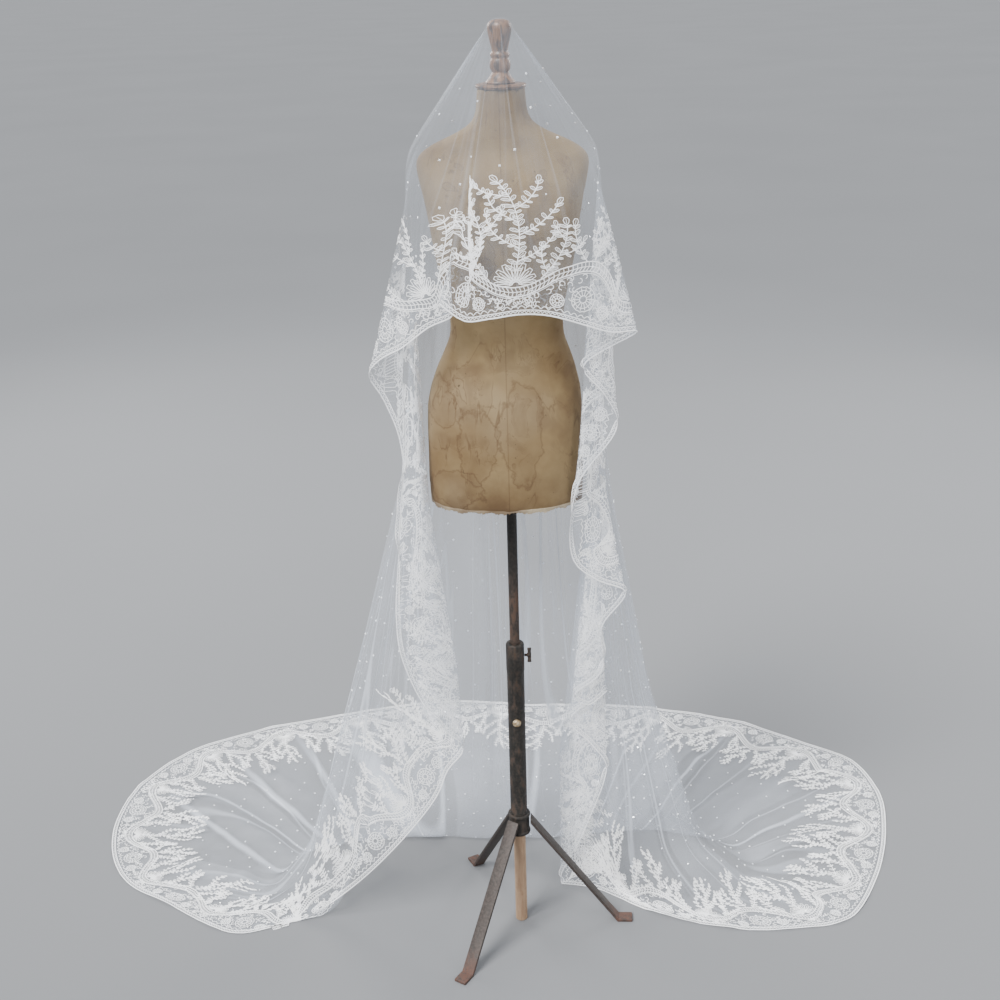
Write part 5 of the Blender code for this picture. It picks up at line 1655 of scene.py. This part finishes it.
@dataclass(frozen=True)
class CanvasFinish:
    """Old beige canvas with weave, tide marks, blotches, specks, a seam and a tint that darkens towards its
    base edge.
    """

    name: str = "old_canvas"
    light: Tint = (0.246, 0.170, 0.078, 1.0)
    dark: Tint = (0.162, 0.100, 0.041, 1.0)
    stain: Tint = (0.070, 0.031, 0.011, 1.0)
    blots: tuple[tuple[Spot, Spot], ...] = (
        ((0.074, -0.10, 1.492), (0.036, 0.070, 0.034)),
        ((-0.048, -0.10, 1.462), (0.030, 0.070, 0.042)),
        ((0.020, -0.10, 1.395), (0.060, 0.070, 0.030)),
        ((-0.122, -0.05, 1.190), (0.026, 0.080, 0.044)),
        ((-0.060, -0.10, 1.120), (0.034, 0.080, 0.072)),
        ((0.022, -0.10, 1.140), (0.040, 0.080, 0.088)),
        ((-0.100, -0.07, 1.030), (0.050, 0.080, 0.034)),
    )

    def make(self) -> bpy.types.Material:
        """Builds the material."""
        made, graph, shader = new_material(self.name)
        place = graph.place()
        cloudy = graph.ramp(graph.noise(place, 7.0, 5.0, 0.6), 0.36, 0.66)
        tint = graph.mix(cloudy, self.light, self.dark)
        pale = graph.ramp(graph.noise(place, 4.0, 3.0), 0.50, 0.70, 0.0, 0.55)
        tint = graph.mix(pale, tint, (0.305, 0.238, 0.146, 1.0))
        rough_edge = graph.ramp(graph.noise(place, 26.0, 4.0, 0.6), 0.25, 0.75, -0.32, 0.32)
        for middle, size in self.blots:
            aside = graph.add("ShaderNodeVectorMath", {0: place, 1: middle}, operation="SUBTRACT").outputs[0]
            aside = graph.add("ShaderNodeVectorMath", {0: aside, 1: size}, operation="DIVIDE").outputs[0]
            away = graph.add("ShaderNodeVectorMath", {0: aside}, operation="LENGTH").outputs["Value"]
            away = graph.math("ADD", away, rough_edge)
            rim = graph.ramp(graph.math("ABSOLUTE", graph.math("SUBTRACT", away, 1.0)), 0.0, 0.09, 0.50, 0.0)
            inside = graph.ramp(away, 0.85, 1.0, 0.17, 0.0)
            tint = graph.mix(graph.math("MAXIMUM", rim, inside), tint, self.stain)
        for scale, size, mark in (((1.0, 1.0, 0.40), 12.0, 0.55), ((1.0, 1.0, 0.9), 19.0, 0.40)):
            wash = graph.noise(graph.stretch(place, scale), size, 4.0, 0.55, 0.7)
            ring = graph.math("ABSOLUTE", graph.math("SUBTRACT", wash, 0.565))
            tide = graph.ramp(ring, 0.0, 0.011, mark, 0.0)
            inside = graph.ramp(wash, 0.565, 0.62, 0.0, mark * 0.55)
            broken = graph.ramp(graph.noise(place, 16.0, 2.0), 0.38, 0.52)
            marked = graph.math("MULTIPLY", graph.math("MAXIMUM", tide, inside), broken)
            tint = graph.mix(marked, tint, self.stain)
        specks = graph.math("MULTIPLY", patches(graph, place, 85.0, 0.31, 0.012), 0.80)
        tint = graph.mix(specks, tint, (0.05, 0.03, 0.015, 1.0))
        spread = graph.add("ShaderNodeSeparateXYZ", {"Vector": place})
        # Darker towards the base edge: over the lowest 8 cm the canvas blends into the stain colour, broken
        # up by noise.
        darker_base = graph.ramp(spread.outputs[2], 0.990, 1.070, 0.70, 0.0)
        darker_base = graph.math("MULTIPLY", darker_base, graph.ramp(graph.noise(place, 18.0, 4.0), 0.32, 0.60))
        tint = graph.mix(darker_base, tint, self.stain)
        seam = graph.ramp(graph.math("ABSOLUTE", graph.math("ADD", spread.outputs[0], 0.004)), 0.0004, 0.0014,
                          0.38, 0.0)
        tint = graph.mix(seam, tint, self.stain)
        links = made.node_tree.links
        links.new(tint, shader.inputs["Base Color"])
        links.new(graph.ramp(cloudy, 0.0, 1.0, 0.82, 0.95), shader.inputs["Roughness"])
        threads = {"Vector": place, "Scale": 290.0, "Distortion": 1.2, "Detail": 2.0, "Detail Scale": 3.0}
        warp = graph.add("ShaderNodeTexWave", threads, bands_direction="X").outputs[1]
        weft = graph.add("ShaderNodeTexWave", threads, bands_direction="Z").outputs[1]
        weave = graph.math("ADD", warp, weft)
        creases = graph.bump(graph.noise(place, 26.0, 4.0, 0.6), 0.35, 0.004)
        links.new(graph.bump(weave, 0.45, 0.0005, creases), shader.inputs["Normal"])
        return made


@dataclass(frozen=True)
class WoodFinish:
    """Turned wood with grain along its axis and worn, darker streaks."""

    name: str
    light: Tint
    dark: Tint
    streak: Tint
    streaks: float
    roughness: float

    def make(self) -> bpy.types.Material:
        """Builds the material."""
        made, graph, shader = new_material(self.name)
        place = graph.place()
        grain = graph.noise(graph.stretch(place, (1.0, 1.0, 0.10)), 260.0, 5.0, 0.6)
        tint = graph.mix(graph.ramp(grain, 0.35, 0.68), self.light, self.dark)
        bands = graph.noise(graph.stretch(place, (1.0, 1.0, 0.22)), 95.0, 3.0, 0.5, 0.4)
        streaked = graph.math("MULTIPLY", graph.ramp(bands, 0.52, 0.64), self.streaks)
        tint = graph.mix(streaked, tint, self.streak)
        worn = patches(graph, place, 70.0, 0.36, 0.05)
        tint = graph.mix(graph.math("MULTIPLY", worn, 0.35), tint, self.streak)
        links = made.node_tree.links
        links.new(tint, shader.inputs["Base Color"])
        links.new(graph.ramp(grain, 0.3, 0.7, self.roughness - 0.08, self.roughness + 0.12),
                  shader.inputs["Roughness"])
        links.new(graph.bump(grain, 0.25, 0.0008), shader.inputs["Normal"])
        return made


@dataclass(frozen=True)
class IronFinish:
    """Old iron: dark skin, mottled rust and rubbed places."""

    name: str
    skin: Tint
    rust: Tint
    rubbed: Tint
    rust_cover: float
    rust_top: float = 2.0
    roughness: float = 0.58

    def make(self) -> bpy.types.Material:
        """Builds the material, with its rust below the height rust_top."""
        made, graph, shader = new_material(self.name)
        place = graph.place()
        fine = graph.noise(place, 190.0, 5.0, 0.6)
        tint = graph.mix(graph.ramp(fine, 0.38, 0.68), self.skin, self.rubbed)
        run = graph.stretch(place, (1.0, 1.0, 0.35))
        rust = graph.math("MAXIMUM", patches(graph, run, 95.0, self.rust_cover, 0.09),
                          graph.math("MULTIPLY", patches(graph, place, 260.0, self.rust_cover, 0.08), 0.5))
        height = graph.add("ShaderNodeSeparateXYZ", {"Vector": place}).outputs[2]
        reach = graph.ramp(height, self.rust_top - 0.05, self.rust_top, 1.0, 0.12)
        rust = graph.math("MULTIPLY", rust, reach)
        rust = graph.math("MULTIPLY", rust, graph.ramp(fine, 0.3, 0.6, 0.55, 1.0))
        tint = graph.mix(rust, tint, self.rust)
        pits = patches(graph, place, 420.0, 0.38, 0.03)
        tint = graph.mix(graph.math("MULTIPLY", pits, 0.6), tint, (0.010, 0.009, 0.008, 1.0))
        links = made.node_tree.links
        links.new(tint, shader.inputs["Base Color"])
        links.new(graph.ramp(rust, 0.0, 1.0, self.roughness, 0.92), shader.inputs["Roughness"])
        links.new(graph.ramp(rust, 0.0, 0.6, 0.45, 0.0), shader.inputs["Metallic"])
        links.new(graph.bump(graph.math("ADD", fine, graph.math("MULTIPLY", rust, 0.5)), 0.4, 0.0010),
                  shader.inputs["Normal"])
        return made


@dataclass(frozen=True)
class BrassFinish:
    """Worn brass with cream patches of age."""

    def make(self) -> bpy.types.Material:
        """Builds the material."""
        made, graph, shader = new_material("aged_brass")
        place = graph.place()
        age = patches(graph, place, 180.0, 0.52, 0.12)
        tint = graph.mix(age, (0.24, 0.155, 0.070, 1.0), (0.42, 0.345, 0.235, 1.0))
        links = made.node_tree.links
        links.new(tint, shader.inputs["Base Color"])
        links.new(graph.ramp(age, 0.0, 1.0, 0.32, 0.62), shader.inputs["Roughness"])
        links.new(graph.ramp(age, 0.0, 1.0, 0.75, 0.15), shader.inputs["Metallic"])
        links.new(graph.bump(graph.noise(place, 700.0, 3.0), 0.2, 0.0004), shader.inputs["Normal"])
        return made


@dataclass
class Studio:
    """The plain pale floor, the soft lights and the camera."""

    camera_place: Spot = (-0.02119, -2.40182, 1.94844)
    camera_look: Spot = (0.0, 0.92694, -0.37521)
    camera_roll: float = -1.6432
    lens: float = 49.114
    sensor: float = 36.0
    floor_reach: float = 90.0

    def build(self) -> None:
        """Sets the whole studio up."""
        self.floor()
        self.lights()
        self.camera()

    def floor(self) -> None:
        """A wide pale floor."""
        deselect()
        bpy.ops.mesh.primitive_circle_add(vertices=96, radius=self.floor_reach, fill_type="NGON",
                                          location=(0.0, 0.0, -0.0002))
        floor = bpy.context.object
        floor.name = floor.data.name = "studio_floor"
        made, graph, shader = new_material("studio_floor")
        tone = graph.ramp(graph.noise(graph.place(), 0.6, 2.0), 0.3, 0.7)
        made.node_tree.links.new(graph.mix(tone, (0.168, 0.172, 0.178, 1.0), (0.178, 0.182, 0.188, 1.0)),
                                 shader.inputs["Base Color"])
        shader.inputs["Roughness"].default_value = 0.9
        floor.data.materials.append(made)

    def lights(self) -> None:
        """A key light, a fill, two lights behind and the pale surroundings."""
        world = bpy.data.worlds.new("studio")
        bpy.context.scene.world = world
        world.use_nodes = True
        back = world.node_tree.nodes["Background"]
        back.inputs[0].default_value = (0.86, 0.90, 0.96, 1.0)
        back.inputs[1].default_value = 0.86
        sun = bpy.data.lights.new("key", "SUN")
        sun.energy = 6.2
        sun.angle = math.radians(24)
        lamp = bpy.data.objects.new("key", sun)
        lamp.rotation_euler = Vector((0.55, 0.62, -0.95)).to_track_quat("-Z", "Y").to_euler()
        bpy.context.scene.collection.objects.link(lamp)
        self.area("fill", (3.2, -2.0, 2.0), (0.0, 0.1, 0.9), 2.4, 60.0)
        self.area("back_left", (-2.4, 3.4, 2.9), (0.0, 0.2, 0.6), 1.8, 130.0)
        self.area("back_right", (2.8, 3.0, 2.6), (0.0, 0.2, 0.6), 1.6, 100.0)

    @staticmethod
    def area(name: str, place: Spot, aim: Spot, size: float, power: float) -> None:
        """Adds one soft light.

        Args:
            name: Its name.
            place: Where it hangs.
            aim: The point it faces.
            size: Length of its side.
            power: Its power in watts.
        """
        data = bpy.data.lights.new(name, "AREA")
        data.size = size
        data.energy = power
        lamp = bpy.data.objects.new(name, data)
        lamp.location = place
        way = Vector(aim) - Vector(place)
        lamp.rotation_euler = way.to_track_quat("-Z", "Y").to_euler()
        bpy.context.scene.collection.objects.link(lamp)

    def camera(self) -> None:
        """The camera, where the photo was taken from."""
        data = bpy.data.cameras.new("camera")
        data.lens = self.lens
        data.sensor_width = self.sensor
        data.clip_end = 200.0
        eye = bpy.data.objects.new("camera", data)
        look = Vector(self.camera_look).normalized()
        right = Vector((1.0, 0.0, 0.0))
        up = right.cross(look)
        roll = math.radians(self.camera_roll)
        right, up = right * math.cos(roll) + up * math.sin(roll), up * math.cos(roll) - right * math.sin(roll)
        turn = Matrix((right, up, -look)).transposed()
        eye.matrix_world = Matrix.Translation(self.camera_place) @ turn.to_4x4()
        bpy.context.scene.collection.objects.link(eye)
        bpy.context.scene.camera = eye


def dress(piece: bpy.types.Object, material: bpy.types.Material, slot: Slot, *nodes: str) -> bpy.types.Object:
    """Gives a piece its finish and its place on the body, and hides the CAD nodes that it stands for.

    Args:
        piece: The finished piece.
        material: Its material.
        slot: Not used.
        nodes: CAD nodes that the piece stands for.

    Returns:
        The piece.
    """
    piece.data.materials.clear()
    piece.data.materials.append(material)
    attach(piece, "root")
    if nodes:
        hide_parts(*nodes)
    LOG.info("%s: %d faces", piece.name, len(piece.data.polygons))
    return piece


def veil_pieces() -> None:
    """Builds the net, its embroidery and its crystals."""
    drape = Drape()
    cut = FlatCut(drape)
    LOG.info("edge %.2f m, turn %.1f degrees", cut.edge_length, math.degrees(cut.turn))
    net = dress(VeilNet(drape, cut).build(), NetFinish().make(), Slot.NET, *VEIL_NODES)
    lace = Lace(cut)
    lace.draw()
    cord = CordFinish().make()
    laid = [dress(put_in_scene(lace.mesh(part)), cord, Slot.NET) for part in Part]
    stones = dress(Crystals(cut).build(), CrystalFinish().make(), Slot.NET)


def main() -> None:
    """Builds the studio, the form, the stand and the veil."""
    logging.basicConfig(level=logging.INFO, format="%(message)s")
    Studio().build()
    body, edge = Form().build()
    canvas = CanvasFinish().make()
    dress(body, canvas, Slot.CANVAS, "form_torso")
    fray = CanvasFinish("frayed_canvas", (0.46, 0.39, 0.28, 1.0), (0.33, 0.26, 0.16, 1.0), blots=()).make()
    dress(edge, fray, Slot.CANVAS)
    amber = WoodFinish("finial_wood", (0.235, 0.115, 0.048, 1.0), (0.110, 0.045, 0.017, 1.0),
                       (0.022, 0.010, 0.005, 1.0), 0.85, 0.42).make()
    disc, knob = Finial().build()
    dress(disc, amber, Slot.FINIAL, "neck_disc")
    dress(knob, amber, Slot.FINIAL, "finial")
    iron = IronFinish("old_iron", (0.015, 0.014, 0.012, 1.0), (0.044, 0.025, 0.015, 1.0),
                      (0.031, 0.028, 0.025, 1.0), 0.42).make()
    rod = IronFinish("pole_iron", (0.013, 0.012, 0.011, 1.0), (0.066, 0.036, 0.022, 1.0),
                     (0.029, 0.026, 0.023, 1.0), 0.52, 0.83).make()
    bars = IronFinish("leg_iron", (0.031, 0.027, 0.024, 1.0), (0.098, 0.044, 0.029, 1.0),
                      (0.062, 0.054, 0.048, 1.0), 0.58, 0.05).make()
    pale = WoodFinish("dowel_wood", (0.40, 0.265, 0.165, 1.0), (0.32, 0.200, 0.120, 1.0),
                      (0.20, 0.115, 0.065, 1.0), 0.35, 0.62).make()
    finishes = {
        "dowel": (pale, Slot.DOWEL),
        "boss": (BrassFinish().make(), Slot.BRASS),
        "pole": (rod, Slot.IRON),
    }
    for node, piece in Stand().build().items():
        material, slot = finishes.get(node, (bars if node.startswith("leg") else iron, Slot.IRON))
        dress(piece, material, slot, node)
    veil_pieces()
    deselect()


if __name__ == "__main__":
    main()
